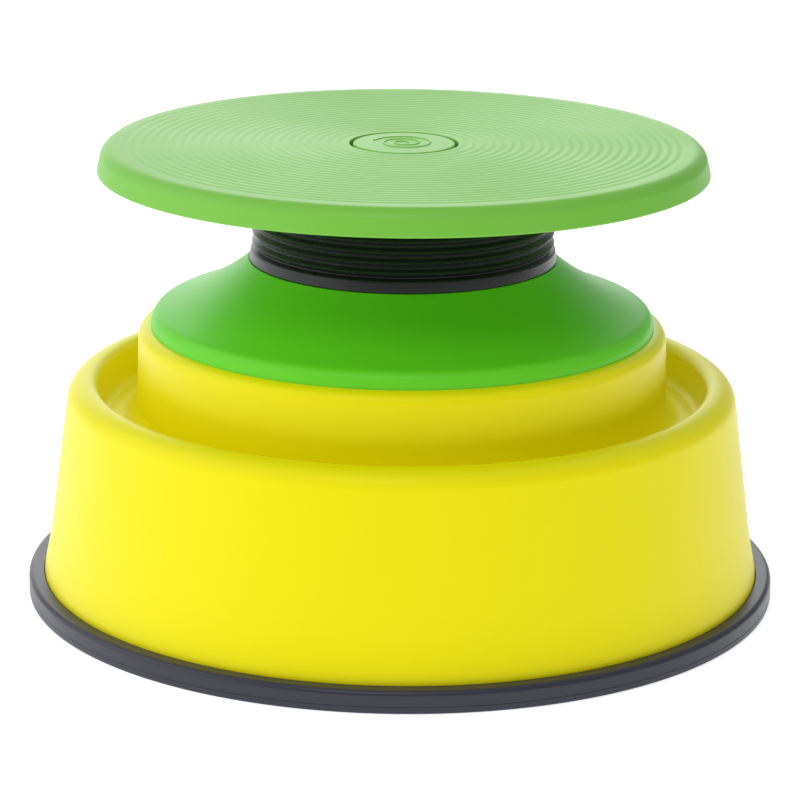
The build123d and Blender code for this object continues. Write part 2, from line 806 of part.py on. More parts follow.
# ---------------------------------------------------------------- cone cover and neck boot
inner_waist_slope = (-cone_waist_slope[0], -cone_waist_slope[1])
inner_brow_slope = (-cone_brow_slope[0], -cone_brow_slope[1])
with BuildPart() as cone_cover:
    with BuildSketch(Plane.XZ):
        with BuildLine():
            Line((sleeve_radius, sleeve_top), (sleeve_radius, neck_seat))
            Line((sleeve_radius, neck_seat), (cone_seat_radius, neck_seat))
            ThreePointArc((cone_seat_radius, neck_seat), cone_hollow, cone_waist)
            Spline(cone_waist, cone_swell, cone_brow, tangents=[cone_waist_slope, cone_brow_slope])
            ThreePointArc(cone_brow, cone_lip, (cone_radius, cone_lip_low))
            Line((cone_radius, cone_lip_low), (cone_radius - cone_shell, cone_lip_low))
            ThreePointArc((cone_radius - cone_shell, cone_lip_low), inner_lip, inner_brow)
            Spline(inner_brow, inner_swell, inner_waist, tangents=[inner_brow_slope, inner_waist_slope])
            ThreePointArc(inner_waist, inner_hollow, inner_seat)
            Polyline(
                inner_seat,
                (sleeve_radius - cone_shell, inner_seat[1]),
                (sleeve_radius - cone_shell, sleeve_top),
                (sleeve_radius, sleeve_top),
            )
        make_face()
    revolve(axis=Axis.Z)
    with BuildSketch(Plane.XY.offset(deck_top)):
        with PolarLocations(cover_screw_circle, cover_screw_count):
            Circle(cover_boss_radius)
            Circle(screw_radius, mode=Mode.SUBTRACT)
    extrude(amount=cover_boss_height)
finish(cone_cover, "cone_cover")

cover_seats = [
    Plane(origin=(location.position.X, location.position.Y, deck_top - shell), z_dir=(0, 0, 1))
    for location in PolarLocations(cover_screw_circle, cover_screw_count)
]
screws("cover_screws", cover_seats, cover_screw_length)

with BuildPart() as neck_boot:
    with BuildSketch(Plane.XZ):
        with BuildLine():
            Line((sleeve_radius, neck_seat), (collar_radius, neck_seat))
            Line((collar_radius, neck_seat), (collar_radius - collar_taper, collar_top))
            Line((collar_radius - collar_taper, collar_top), (rib_root_radius, collar_top + collar_step))
            for rib in range(rib_count):
                low = collar_top + collar_step + rib * rib_pitch
                ThreePointArc(
                    (rib_root_radius, low),
                    (rib_radius, low + rib_pitch / 2),
                    (rib_root_radius, low + rib_pitch),
                )
            crown = collar_top + collar_step + rib_count * rib_pitch
            Polyline(
                (rib_root_radius, crown),
                (rib_root_radius, sleeve_top + boot_lip),
                (sleeve_radius - cone_shell, sleeve_top + boot_lip),
                (sleeve_radius - cone_shell, sleeve_top),
                (sleeve_radius, sleeve_top),
                (sleeve_radius, neck_seat),
            )
        make_face()
    revolve(axis=Axis.Z)
finish(neck_boot, "neck_boot")

# ---------------------------------------------------------------- wheel head
with BuildPart() as wheel_head:
    with BuildSketch(Plane.XZ):
        with BuildLine():
            FilletPolyline(
                (0, head_top),
                (head_radius - head_draft, head_top),
                (head_radius, head_low),
                radius=[head_round],
            )
            Polyline(
                (head_radius, head_low),
                (head_radius - head_skirt, head_low),
                (head_radius - head_skirt, plate_under),
                (0, plate_under),
                (0, head_top),
            )
        make_face()
    revolve(axis=Axis.Z)
    with BuildSketch(Plane.XY.offset(plate_under - head_rib_depth)):
        with PolarLocations((hub_radius + head_radius - head_skirt) / 2, head_rib_count):
            Rectangle(head_radius - head_skirt - hub_radius + head_rib_overlap, head_rib_width)
        Circle(pocket_wall_radius)
    extrude(amount=head_rib_depth)
    with BuildSketch(Plane.XY.offset(plate_under - drip_depth)):
        Circle(drip_radius + head_rib_width)
        Circle(drip_radius, mode=Mode.SUBTRACT)
    extrude(amount=drip_depth)
    with BuildSketch(Plane.XY.offset(hub_bottom)):
        Circle(hub_radius)
    extrude(amount=plate_under - hub_bottom)
    with BuildSketch(Plane.XY.offset(cap_seat)):
        Circle(cap_radius + cap_gap)
    extrude(amount=head_top - cap_seat, mode=Mode.SUBTRACT)
    with BuildSketch(Plane.XY.offset(screw_seat)):
        Circle(screw_pocket_radius)
    extrude(amount=cap_seat - screw_seat, mode=Mode.SUBTRACT)
    with BuildSketch(Plane.XY.offset(spindle_top)):
        Circle(head_screw_clear)
    extrude(amount=screw_seat - spindle_top, mode=Mode.SUBTRACT)
    with BuildSketch(Plane.XY.offset(hub_bottom)):
        Circle(spindle_radius)
        with Locations((2 * spindle_radius, 0)):
            Rectangle(2 * (2 * spindle_radius - spindle_flat), 4 * spindle_radius, mode=Mode.SUBTRACT)
    extrude(amount=spindle_top - hub_bottom, mode=Mode.SUBTRACT)
finish(wheel_head, "wheel_head")

with BuildPart() as head_cap:
    with BuildSketch(Plane.XY.offset(head_top - cap_plate)):
        Circle(cap_radius)
    extrude(amount=cap_plate)
    fillet(head_cap.edges().filter_by(GeomType.CIRCLE).sort_by(Axis.Z)[-1], radius=cap_round)
    with BuildSketch(Plane.XY.offset(cap_seat)):
        Circle(cap_radius - cap_skirt_inset)
        Circle(cap_radius - cap_skirt_inset - cap_skirt, mode=Mode.SUBTRACT)
    extrude(amount=head_top - cap_plate - cap_seat)
finish(head_cap, "head_cap")

ring_piece("head_washer", Plane.XY.offset(screw_seat), head_washer_radius, head_screw_clear, washer_thickness)

head_screw_seat = screw_seat + washer_thickness
with BuildPart() as head_screw:
    with BuildSketch(Plane.XY.offset(head_screw_seat)):
        Circle(head_screw_head_radius)
    extrude(amount=head_screw_head_height)
    with BuildSketch(Plane.XY.offset(head_screw_seat - head_screw_length)):
        Circle(head_screw_radius)
    extrude(amount=head_screw_length)
    with BuildSketch(Plane.XY.offset(head_screw_seat + head_screw_head_height - hex_socket_depth)):
        RegularPolygon(hex_socket_radius, 6)
    extrude(amount=hex_socket_depth, mode=Mode.SUBTRACT)
finish(head_screw, "head_screw")

# ---------------------------------------------------------------- rocker switch
with BuildPart() as switch_housing:
    with BuildSketch(switch_plane):
        RectangleRounded(bezel_width, bezel_height, bezel_round)
    extrude(amount=bezel_lip)
    with BuildSketch(switch_plane.offset(-switch_depth)):
        Rectangle(switch_body_width, switch_body_height)
    extrude(amount=switch_depth)
    with BuildSketch(switch_plane.offset(switch_floor - switch_depth)):
        Rectangle(2 * (rocker_half_width + rocker_side_gap), rocker_height + 2 * contact_gap)
    extrude(amount=switch_depth - switch_floor + bezel_lip, mode=Mode.SUBTRACT)
    stub_length = rocker_height / 2 + contact_gap + rocker_stub
    with BuildSketch(Plane(origin=(0, rocker_pivot, switch_z - stub_length))):
        Circle(rocker_stub_radius + fit)
    extrude(amount=2 * stub_length, mode=Mode.SUBTRACT)
finish(switch_housing, "switch_housing")

with BuildPart() as switch_terminals:
    with BuildSketch(switch_plane.offset(-switch_depth - terminal_reach)):
        with GridLocations(terminal_spacing, 0, 2, 1):
            Rectangle(blade_thickness, blade_width)
    extrude(amount=terminal_reach)
finish(switch_terminals, "switch_terminals")

pivot_plane = Plane(origin=(0, rocker_pivot, switch_z - rocker_height / 2))
with BuildPart() as rocker:
    with BuildSketch(pivot_plane):
        with BuildLine():
            Polyline(
                (-rocker_half_width, -rocker_shoulder),
                (-rocker_half_width, rocker_crest),
                (0, rocker_crest - rocker_dip),
                (rocker_half_width, rocker_crest),
                (rocker_half_width, -rocker_shoulder),
                (rocker_foot_half_width, -rocker_foot),
                (-rocker_foot_half_width, -rocker_foot),
                close=True,
            )
        make_face()
    extrude(amount=rocker_height)
    with BuildSketch(pivot_plane.offset(-rocker_stub)):
        Circle(rocker_stub_radius)
    extrude(amount=rocker_height + 2 * rocker_stub)
finish(rocker, "rocker")


# ---------------------------------------------------------------- wiring
def bend_radii(points):
    """Largest tangent arc at each inner corner of a wire's route."""
    corners = [Vector(*point) for point in points]
    radii = []
    for before, corner, after in zip(corners, corners[1:], corners[2:]):
        run_in = corner - before
        run_out = after - corner
        turn = radians(run_in.get_angle(run_out))
        radii.append(bend_share * min(run_in.length, run_out.length) / tan(turn / 2))
    return radii


def wire(name, points):
    """Write a round wire that runs through these points with tangent arcs."""
    with BuildPart() as piece:
        with BuildLine() as route:
            FilletPolyline(*points, radius=bend_radii(points))
        with BuildSketch(Plane(origin=route.line @ 0, z_dir=route.line % 0)):
            Circle(wire_radius)
        sweep(path=route.line)
    finish(piece, name)


tab_top = tray_top + contact_tab + wire_radius
tab_x = contact_x + contact_thickness / 2
switch_end = switch_face - switch_depth - terminal_reach - wire_radius
motor_end = motor_cap_bottom - terminal_length - 2 * wire_radius
wire(
    "battery_to_switch_wire",
    [
        (-tab_x, cell_rows[0], tab_top),
        (-tab_x - 1, cell_rows[0] + 3, tab_top + 9),
        (-tab_x - 6, cell_rows[0] + 22, tab_top + 14),
        (-tab_x - 3, cell_rows[0] + 60, tab_top + 12),
        (-tab_x + 22, cell_rows[0] + 96, tab_top + 8),
        (-16, switch_end - 10, switch_z + 2),
        (-5, switch_end, switch_z),
    ],
)
wire(
    "switch_to_motor_wire",
    [
        (5, switch_end, switch_z),
        (9, switch_end - 6, switch_z - 6),
        (12, switch_end - 13, motor_end - 5),
        (10, motor_distance + 6, motor_end - 7),
        (8, motor_distance, motor_end),
    ],
)
wire(
    "battery_to_motor_wire",
    [
        (-tab_x, cell_rows[1], tab_top),
        (-tab_x - 2, cell_rows[1] + 3, tab_top + 6),
        (-tab_x - 14, cell_rows[1] + 26, tab_top + 8),
        (-tab_x - 16, cell_rows[1] + 66, tab_top - 4),
        (-tab_x + 8, cell_rows[1] + 104, motor_end - 4),
        (-20, motor_distance - 10, motor_end - 9),
        (-9, motor_distance - 4, motor_end - 8),
        (-8, motor_distance, motor_end),
    ],
)
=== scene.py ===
import json
from math import atan2, cos, pi, radians, sin, tan

import bmesh
import bpy
from bpy.props import FloatProperty, FloatVectorProperty, IntProperty, PointerProperty
from bpy.types import Operator, Panel, PropertyGroup
from mathutils import Euler, Matrix, Vector
from mathutils.geometry import interpolate_bezier


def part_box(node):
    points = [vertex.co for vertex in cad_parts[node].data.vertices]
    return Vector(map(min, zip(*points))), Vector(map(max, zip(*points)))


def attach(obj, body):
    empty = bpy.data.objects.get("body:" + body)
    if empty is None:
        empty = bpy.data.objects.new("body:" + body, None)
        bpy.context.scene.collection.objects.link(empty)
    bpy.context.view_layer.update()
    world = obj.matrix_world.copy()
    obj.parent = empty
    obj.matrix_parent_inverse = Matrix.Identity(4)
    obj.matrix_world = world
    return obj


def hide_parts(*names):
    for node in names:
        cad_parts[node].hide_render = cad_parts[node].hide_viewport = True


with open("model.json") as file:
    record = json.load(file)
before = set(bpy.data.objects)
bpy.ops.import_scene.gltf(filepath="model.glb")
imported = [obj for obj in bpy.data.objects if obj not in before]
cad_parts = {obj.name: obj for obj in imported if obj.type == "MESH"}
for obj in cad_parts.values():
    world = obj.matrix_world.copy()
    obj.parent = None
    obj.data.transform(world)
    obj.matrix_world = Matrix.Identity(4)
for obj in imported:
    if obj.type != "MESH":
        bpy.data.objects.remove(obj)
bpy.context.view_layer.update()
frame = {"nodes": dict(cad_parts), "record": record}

bl_info = {
    "name": "Tabletop Pottery Wheel",
    "version": (1, 0, 0),
    "blender": (4, 5, 0),
    "location": "View3D > Sidebar > Pottery",
    "description": "Dresses the pottery wheel: head, neck, cover, splash base, foot and drive",
    "category": "Object",
}

MM = 0.001
FULL_TURN = 2 * pi
SHARP_ANGLE = radians(32)

HEAD_LOW, HEAD_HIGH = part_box("wheel_head")
CAP_LOW, CAP_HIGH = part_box("head_cap")
WASHER_LOW, WASHER_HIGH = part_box("head_washer")
_, SPINDLE_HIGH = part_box("spindle")
BOOT_LOW, BOOT_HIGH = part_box("neck_boot")
COVER_LOW, COVER_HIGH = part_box("cone_cover")
BASE_LOW, BASE_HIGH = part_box("splash_base")
RING_LOW, RING_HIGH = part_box("foot_ring")
PLATE_LOW, PLATE_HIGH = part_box("bottom_plate")
BEZEL_LOW, BEZEL_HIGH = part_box("switch_housing")
ROCKER_LOW, ROCKER_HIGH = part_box("rocker")
_, GEAR_PLATE_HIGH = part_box("gear_plate")


def length(name, description, default):
    """A length property in metres."""
    return FloatProperty(
        name=name, description=description, default=default, min=0.0, unit="LENGTH", precision=5
    )


def colour(name, description, default):
    """A colour property in scene linear values."""
    return FloatVectorProperty(
        name=name, description=description, default=default, size=3, min=0.0, max=1.0, subtype="COLOR"
    )


class HeadSizes(PropertyGroup):
    """Sizes of the wheel head and its cap."""

    edge_height: length("Edge height", "Height of the wheel head's side", 8.8 * MM)
    draft: length("Draft", "How far the side leans in towards the top", 2.0 * MM)
    edge_round: length("Edge round", "Radius of the top edge", 4.5 * MM)
    skirt: length("Skirt", "Thickness of the side wall", 2.6 * MM)
    plate: length("Plate", "Thickness of the top plate", 3.0 * MM)
    groove_pitch: length("Groove pitch", "Distance from one ring to the next", 3.2 * MM)
    groove_depth: length("Groove depth", "Depth of the rings", 0.24 * MM)
    groove_start: length("First groove", "Radius where the rings begin", 19.2 * MM)
    groove_end: length("Last groove", "Radius where the rings end", 93.0 * MM)
    cap_gap: length("Cap gap", "Width of the gap round the cap", 1.0 * MM)
    cap_seat: length("Cap seat", "Depth of the cap's recess", 4.6 * MM)
    hub_radius: length("Hub radius", "Outer radius of the hub under the head", 11.0 * MM)
    drip_radius: length("Drip ring", "Radius of the drip ring under the head", 60.0 * MM)
    rib_depth: length("Rib depth", "Depth of the ribs under the head", 3.5 * MM)
    rib_width: length("Rib width", "Width of the ribs under the head", 2.0 * MM)
    rib_count: IntProperty(name="Ribs", description="Ribs under the head", default=12, min=3)


class NeckSizes(PropertyGroup):
    """Sizes of the ribbed neck boot."""

    collar_height: length("Collar height", "Height of the smooth collar", 3.8 * MM)
    collar_taper: length("Collar taper", "How far the collar leans in", 0.5 * MM)
    rib_pitch: length("Rib pitch", "Distance from one rib to the next", 3.45 * MM)
    rib_radius: length("Rib radius", "Radius at a rib's crest", 50.1 * MM)
    root_radius: length("Root radius", "Radius between two ribs", 48.7 * MM)
    rib_count: IntProperty(name="Ribs", description="Ribs round the neck", default=6, min=1)
    lip: length("Lip", "Thickness of the lip over the sleeve", 1.5 * MM)


class CoverSizes(PropertyGroup):
    """Sizes of the cone cover."""

    wall: length("Wall", "Wall thickness of the cone cover", 2.6 * MM)
    sleeve_radius: length("Sleeve radius", "Outer radius of the sleeve inside the boot", 46.4 * MM)
    seat_margin: length("Seat margin", "Width of the seat outside the boot", 0.4 * MM)
    lip_height: length("Lip height", "Height of the rounded lip", 5.7 * MM)
    lip_reach: length("Lip reach", "How far the lip turns over", 3.3 * MM)


class BaseSizes(PropertyGroup):
    """Sizes of the splash base."""

    wall: length("Wall", "Wall thickness of the moulding", 2.8 * MM)
    low_radius: length("Low radius", "Radius of the wall above the foot", 118.0 * MM)
    low_height: length("Low height", "Height where the straight wall begins", 20.0 * MM)
    rim_radius: length("Rim radius", "Outer radius of the rim", 111.0 * MM)
    rim_inner: length("Rim inner radius", "Inner radius of the rim", 102.0 * MM)
    rim_height: length("Rim height", "Height of the rim", 72.8 * MM)
    moat_height: length("Moat floor", "Height of the moat's floor", 60.0 * MM)
    moat_outer: length("Moat outer radius", "Outer radius of the moat's floor", 100.4 * MM)
    moat_inner: length("Moat inner radius", "Inner radius of the moat's floor", 88.7 * MM)
    pedestal_radius: length("Pedestal radius", "Radius of the pedestal at its top", 87.9 * MM)
    deck_hole: length("Deck hole", "Radius of the hole in the deck", 24.0 * MM)
    boss_radius: length("Boss radius", "Radius of the screw bosses", 4.5 * MM)
    post_radius: length("Post radius", "Radius of the gear plate's posts", 4.0 * MM)
    post_circle: length("Post circle", "Radius of the circle of posts", 43.0 * MM)


class SwitchSizes(PropertyGroup):
    """Sizes of the rocker switch and its recess."""

    face: length("Face", "Distance of the recess from the axis", 111.5 * MM)
    backing: length("Backing", "Thickness of the wall behind the recess", 3.0 * MM)
    margin: length("Margin", "Gap between the bezel and the recess", 0.5 * MM)
    body_width: length("Body width", "Width of the switch body", 18.6 * MM)
    body_height: length("Body height", "Height of the switch body", 12.6 * MM)
    well_width: length("Well width", "Width of the rocker's well", 17.2 * MM)
    well_height: length("Well height", "Height of the rocker's well", 9.6 * MM)
    pivot: length("Pivot", "Distance of the pivot from the axis", 108.6 * MM)


class Colours(PropertyGroup):
    """Base colours of the plastics and rubbers."""

    # The head and the cone cover are one green plastic: the head's paler green is a painted reflection, the
    # cover's brighter green is painted light in the head's shade.
    head: colour("Wheel head", "Green of the wheel head and cap", (0.205, 0.58, 0.058))
    cover: colour("Cone cover", "Green of the cone cover", (0.14, 0.69, 0.015))
    base: colour("Splash base", "Yellow of the splash base", (0.94, 0.845, 0.001))
    boot: colour("Neck boot", "Dark grey of the neck boot", (0.010, 0.012, 0.012))
    foot: colour("Foot ring", "Blue grey of the foot ring", (0.022, 0.024, 0.044))
    casing: colour("Inner casing", "Charcoal of the plate and the housings", (0.035, 0.037, 0.04))


class StageSizes(PropertyGroup):
    """Where the camera stands and how it looks."""

    camera_distance: length("Camera distance", "Distance in front of the axis", 1.0703)
    camera_height: length("Camera height", "Height above the floor", 0.3707)
    camera_pitch: FloatProperty(
        name="Camera pitch",
        description="How far the camera looks down",
        default=radians(15.994),
        subtype="ANGLE",
    )
    camera_yaw: FloatProperty(
        name="Camera yaw",
        description="How far the camera looks to the left",
        default=radians(0.029),
        subtype="ANGLE",
    )
    camera_roll: FloatProperty(
        name="Camera roll", description="How far the camera leans", default=radians(0.54), subtype="ANGLE"
    )
    camera_lens: FloatProperty(name="Lens", description="Focal length in millimetres", default=149.0, min=1.0)


# ---------------------------------------------------------------- shapes


def corner_turn(before, here, after):
    """Angle by which an outline turns at a corner."""
    heading_in = atan2(here[1] - before[1], here[0] - before[0])
    heading_out = atan2(after[1] - here[1], after[0] - here[0])
    return (heading_out - heading_in + pi) % FULL_TURN - pi


def turned(bm, corners, steps, centre=(0.0, 0.0), segments=8):
    """Spin an outline of (radius, height, rounding) corners about an upright axis and add it to bm.

    An outline that starts and ends on the axis is left open, any other is closed."""
    on_axis = corners[0][0] == 0.0 and corners[-1][0] == 0.0
    ring = bmesh.new()
    verts = [ring.verts.new((centre[0] + r, centre[1], z)) for r, z, _ in corners]
    ends = verts[1:] if on_axis else verts[1:] + verts[:1]
    for start, end in zip(verts, ends):
        ring.edges.new((start, end))
    for index, (here, vert) in enumerate(zip(corners, verts)):
        if here[2] > 0.0:
            bend = corner_turn(corners[index - 1], here, corners[(index + 1) % len(corners)])
            bmesh.ops.bevel(
                ring,
                geom=[vert],
                offset=here[2] * tan(abs(bend) / 2),
                offset_type="OFFSET",
                segments=segments,
                profile=0.5,
                affect="VERTICES",
                material=-1,
            )
    bmesh.ops.spin(
        ring,
        geom=ring.verts[:] + ring.edges[:],
        cent=(centre[0], centre[1], 0.0),
        axis=(0.0, 0.0, 1.0),
        angle=FULL_TURN,
        steps=steps,
        use_merge=True,
        use_duplicate=False,
    )
    bmesh.ops.remove_doubles(ring, verts=ring.verts[:], dist=1e-6)
    bmesh.ops.recalc_face_normals(ring, faces=ring.faces[:])
    joined = bpy.data.meshes.new("turned")
    ring.to_mesh(joined)
    ring.free()
    bm.from_mesh(joined)
    bpy.data.meshes.remove(joined)


def walled(corners, thickness, side):
    """Close an open outline into a wall: side is 1 for material on its left, -1 for its right."""
    inner = []
    least_round = 0.2 * MM
    last = len(corners) - 1
    for index, (r, z, rounding) in enumerate(corners):
        before = corners[max(index - 1, 0)]
        after = corners[min(index + 1, last)]
        headings = []
        for start, end in ((before, corners[index]), (corners[index], after)):
            if start is not end:
                headings.append(Vector((end[0] - start[0], end[1] - start[1])).normalized())
        normals = [Vector((-heading.y, heading.x)) * side for heading in headings]
        total = normals[0] + normals[-1]
        shift = total * (thickness / (1 + normals[0].dot(normals[-1])))
        if rounding > 0.0:
            bend = corner_turn(before, corners[index], after)
            rounding = max(rounding - thickness * side * (1 if bend > 0 else -1), least_round)
        inner.append((r + shift.x, z + shift.y, rounding))
    return list(corners) + inner[::-1]


def box_shape(bm, low, high):
    """Add a plain block between two corners to bm, and return its verts."""
    middle = (Vector(low) + Vector(high)) / 2
    size = Vector(high) - Vector(low)
    place = Matrix.Translation(middle) @ Matrix.Diagonal((*size, 1.0))
    return bmesh.ops.create_cube(bm, size=1.0, matrix=place)["verts"]


def mesh_object(name, bm):
    """Turn a bmesh into an object with smooth faces and sharp corners."""
    mesh = bpy.data.meshes.new(name)
    bm.to_mesh(mesh)
    bm.free()
    mesh.shade_smooth()
    mesh.set_sharp_from_angle(angle=SHARP_ANGLE)
    piece = bpy.data.objects.new(name, mesh)
    bpy.context.scene.collection.objects.link(piece)
    return piece


def place_piece(piece, material, body, nodes=()):
    """Give a piece its material, even shading and body, and hide the nodes it stands for."""
    piece.data.materials.clear()
    piece.data.materials.append(material)
    even = piece.modifiers.new("Even shading", "WEIGHTED_NORMAL")
    even.keep_sharp = True
    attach(piece, body)
    if nodes:
        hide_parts(*nodes)


def cut_with(piece, tool_bm, operation):
    """Join or cut a piece with a tool shape and keep the result as its mesh."""
    tool = mesh_object("tool", tool_bm)
    change = piece.modifiers.new("Cut", "BOOLEAN")
    change.operation = operation
    change.solver = "EXACT"
    change.object = tool
    bpy.context.view_layer.update()
    result = bpy.data.meshes.new_from_object(piece.evaluated_get(bpy.context.evaluated_depsgraph_get()))
    piece.modifiers.remove(change)
    old = piece.data
    result.name = old.name + "_cut"
    piece.data = result
    bpy.data.meshes.remove(old)
    bpy.data.objects.remove(tool)


def rounded_block(low, high, radius, axis):
    """A block whose edges along one axis are rounded."""
    bm = bmesh.new()
    box_shape(bm, low, high)
    nearly_parallel = 0.9
    spans = [(edge, (edge.verts[1].co - edge.verts[0].co).normalized()) for edge in bm.edges]
    along = [edge for edge, heading in spans if abs(heading[axis]) > nearly_parallel]
    bmesh.ops.bevel(
        bm,
        geom=along,
        offset=radius,
        offset_type="OFFSET",
        segments=6,
        profile=0.5,
        affect="EDGES",
        material=-1,
    )
    return bm


# ---------------------------------------------------------------- materials


def new_group(name, inputs, outputs):
    """Start a shader node group with named sockets."""
    group = bpy.data.node_groups.new(name, "ShaderNodeTree")
    for socket_name, socket_type, default in inputs:
        socket = group.interface.new_socket(socket_name, in_out="INPUT", socket_type=socket_type)
        socket.default_value = default
    for socket_name, socket_type in outputs:
        group.interface.new_socket(socket_name, in_out="OUTPUT", socket_type=socket_type)
    return group


def moulded_grain():
    """Group: the very fine orange-peel height of a moulded or rubber surface."""
    group = new_group(
        "Moulded grain",
        [
            ("Fine Scale", "NodeSocketFloat", 2200.0),
            ("Wave Scale", "NodeSocketFloat", 90.0),
            ("Wave", "NodeSocketFloat", 0.5),
        ],
        [("Height", "NodeSocketFloat")],
    )
    nodes, links = group.nodes, group.links
    given = nodes.new("NodeGroupInput")
    result = nodes.new("NodeGroupOutput")
    place = nodes.new("ShaderNodeTexCoord")
    fine = nodes.new("ShaderNodeTexNoise")
    fine.inputs["Detail"].default_value = 2.0
    wave = nodes.new("ShaderNodeTexNoise")
    wave.inputs["Detail"].default_value = 1.0
    total = nodes.new("ShaderNodeMath")
    total.operation = "MULTIPLY_ADD"
    links.new(place.outputs["Object"], fine.inputs["Vector"])
    links.new(place.outputs["Object"], wave.inputs["Vector"])
    links.new(given.outputs["Fine Scale"], fine.inputs["Scale"])
    links.new(given.outputs["Wave Scale"], wave.inputs["Scale"])
    links.new(wave.outputs["Fac"], total.inputs[0])
    links.new(given.outputs["Wave"], total.inputs[1])
    links.new(fine.outputs["Fac"], total.inputs[2])
    links.new(total.outputs["Value"], result.inputs["Height"])
    return group


def handled_gloss():
    """Group: roughness that drifts gently over a surface, with faint wiped smears."""
    group = new_group(
        "Handled gloss",
        [
            ("Low", "NodeSocketFloat", 0.3),
            ("High", "NodeSocketFloat", 0.4),
            ("Scale", "NodeSocketFloat", 18.0),
        ],
        [("Roughness", "NodeSocketFloat")],
    )
    nodes, links = group.nodes, group.links
    given = nodes.new("NodeGroupInput")
    result = nodes.new("NodeGroupOutput")
    place = nodes.new("ShaderNodeTexCoord")
    drift = nodes.new("ShaderNodeTexNoise")
    drift.inputs["Detail"].default_value = 5.0
    drift.inputs["Distortion"].default_value = 0.4
    spread = nodes.new("ShaderNodeMapRange")
    spread.inputs["From Min"].default_value = 0.3
    spread.inputs["From Max"].default_value = 0.7
    links.new(place.outputs["Object"], drift.inputs["Vector"])
    links.new(given.outputs["Scale"], drift.inputs["Scale"])
    links.new(drift.outputs["Fac"], spread.inputs["Value"])
    links.new(given.outputs["Low"], spread.inputs["To Min"])
    links.new(given.outputs["High"], spread.inputs["To Max"])
    links.new(spread.outputs["Result"], result.inputs["Roughness"])
    return group


def batch_tint():
    """Group: a slight unevenness of pigment, lighter and darker than the base colour."""
    group = new_group(
        "Batch tint",
        [
            ("Colour", "NodeSocketColor", (0.5, 0.5, 0.5, 1.0)),
            ("Amount", "NodeSocketFloat", 0.04),
            ("Scale", "NodeSocketFloat", 14.0),
        ],
        [("Colour", "NodeSocketColor")],
    )
    nodes, links = group.nodes, group.links
    given = nodes.new("NodeGroupInput")
    result = nodes.new("NodeGroupOutput")
    place = nodes.new("ShaderNodeTexCoord")
    cloud = nodes.new("ShaderNodeTexNoise")
    cloud.inputs["Detail"].default_value = 3.0
    centred = nodes.new("ShaderNodeMath")
    centred.operation = "SUBTRACT"
    centred.inputs[1].default_value = 0.5
    scaled = nodes.new("ShaderNodeMath")
    scaled.operation = "MULTIPLY_ADD"
    scaled.inputs[2].default_value = 1.0
    shade = nodes.new("ShaderNodeHueSaturation")
    links.new(place.outputs["Object"], cloud.inputs["Vector"])
    links.new(given.outputs["Scale"], cloud.inputs["Scale"])
    links.new(cloud.outputs["Fac"], centred.inputs[0])
    links.new(centred.outputs["Value"], scaled.inputs[0])
    links.new(given.outputs["Amount"], scaled.inputs[1])
    links.new(scaled.outputs["Value"], shade.inputs["Value"])
    links.new(given.outputs["Colour"], shade.inputs["Color"])
    links.new(shade.outputs["Color"], result.inputs["Colour"])
    return group


def place_group(tree, group, **values):
    """Put a node group in a tree and set its inputs; underscores in names stand for spaces."""
    node = tree.nodes.new("ShaderNodeGroup")
    node.node_tree = group
    for name, value in values.items():
        node.inputs[name.replace("_", " ")].default_value = value
    return node


def solid_finish(
    name, rgb, rough, grain, tint=0.05, metal=0.0, coat=0.0, sheen=(1.0, 1.0, 1.0), fine=2200.0
):
    """A moulded, rubber or metal finish: tint, drifting gloss and a fine grain."""
    groups = bpy.data.node_groups
    material = bpy.data.materials.new(name)
    material.use_nodes = True
    tree = material.node_tree
    shader = tree.nodes["Principled BSDF"]
    shader.inputs["Metallic"].default_value = metal
    shader.inputs["IOR"].default_value = 1.48
    shader.inputs["Coat Weight"].default_value = coat
    shader.inputs["Specular Tint"].default_value = (*sheen, 1.0)
    tinted = place_group(tree, groups["Batch tint"], Colour=(*rgb, 1.0), Amount=tint)
    gloss = place_group(tree, groups["Handled gloss"], Low=rough[0], High=rough[1])
    height = place_group(tree, groups["Moulded grain"], Fine_Scale=fine)
    bump = tree.nodes.new("ShaderNodeBump")
    bump.inputs["Strength"].default_value = grain
    bump.inputs["Distance"].default_value = 0.05 * MM
    tree.links.new(tinted.outputs["Colour"], shader.inputs["Base Color"])
    tree.links.new(gloss.outputs["Roughness"], shader.inputs["Roughness"])
    tree.links.new(height.outputs["Height"], bump.inputs["Height"])
    tree.links.new(bump.outputs["Normal"], shader.inputs["Normal"])
    return material


def shared_groups():
    """Build the node groups once."""
    moulded_grain()
    handled_gloss()
    batch_tint()


# ---------------------------------------------------------------- pieces


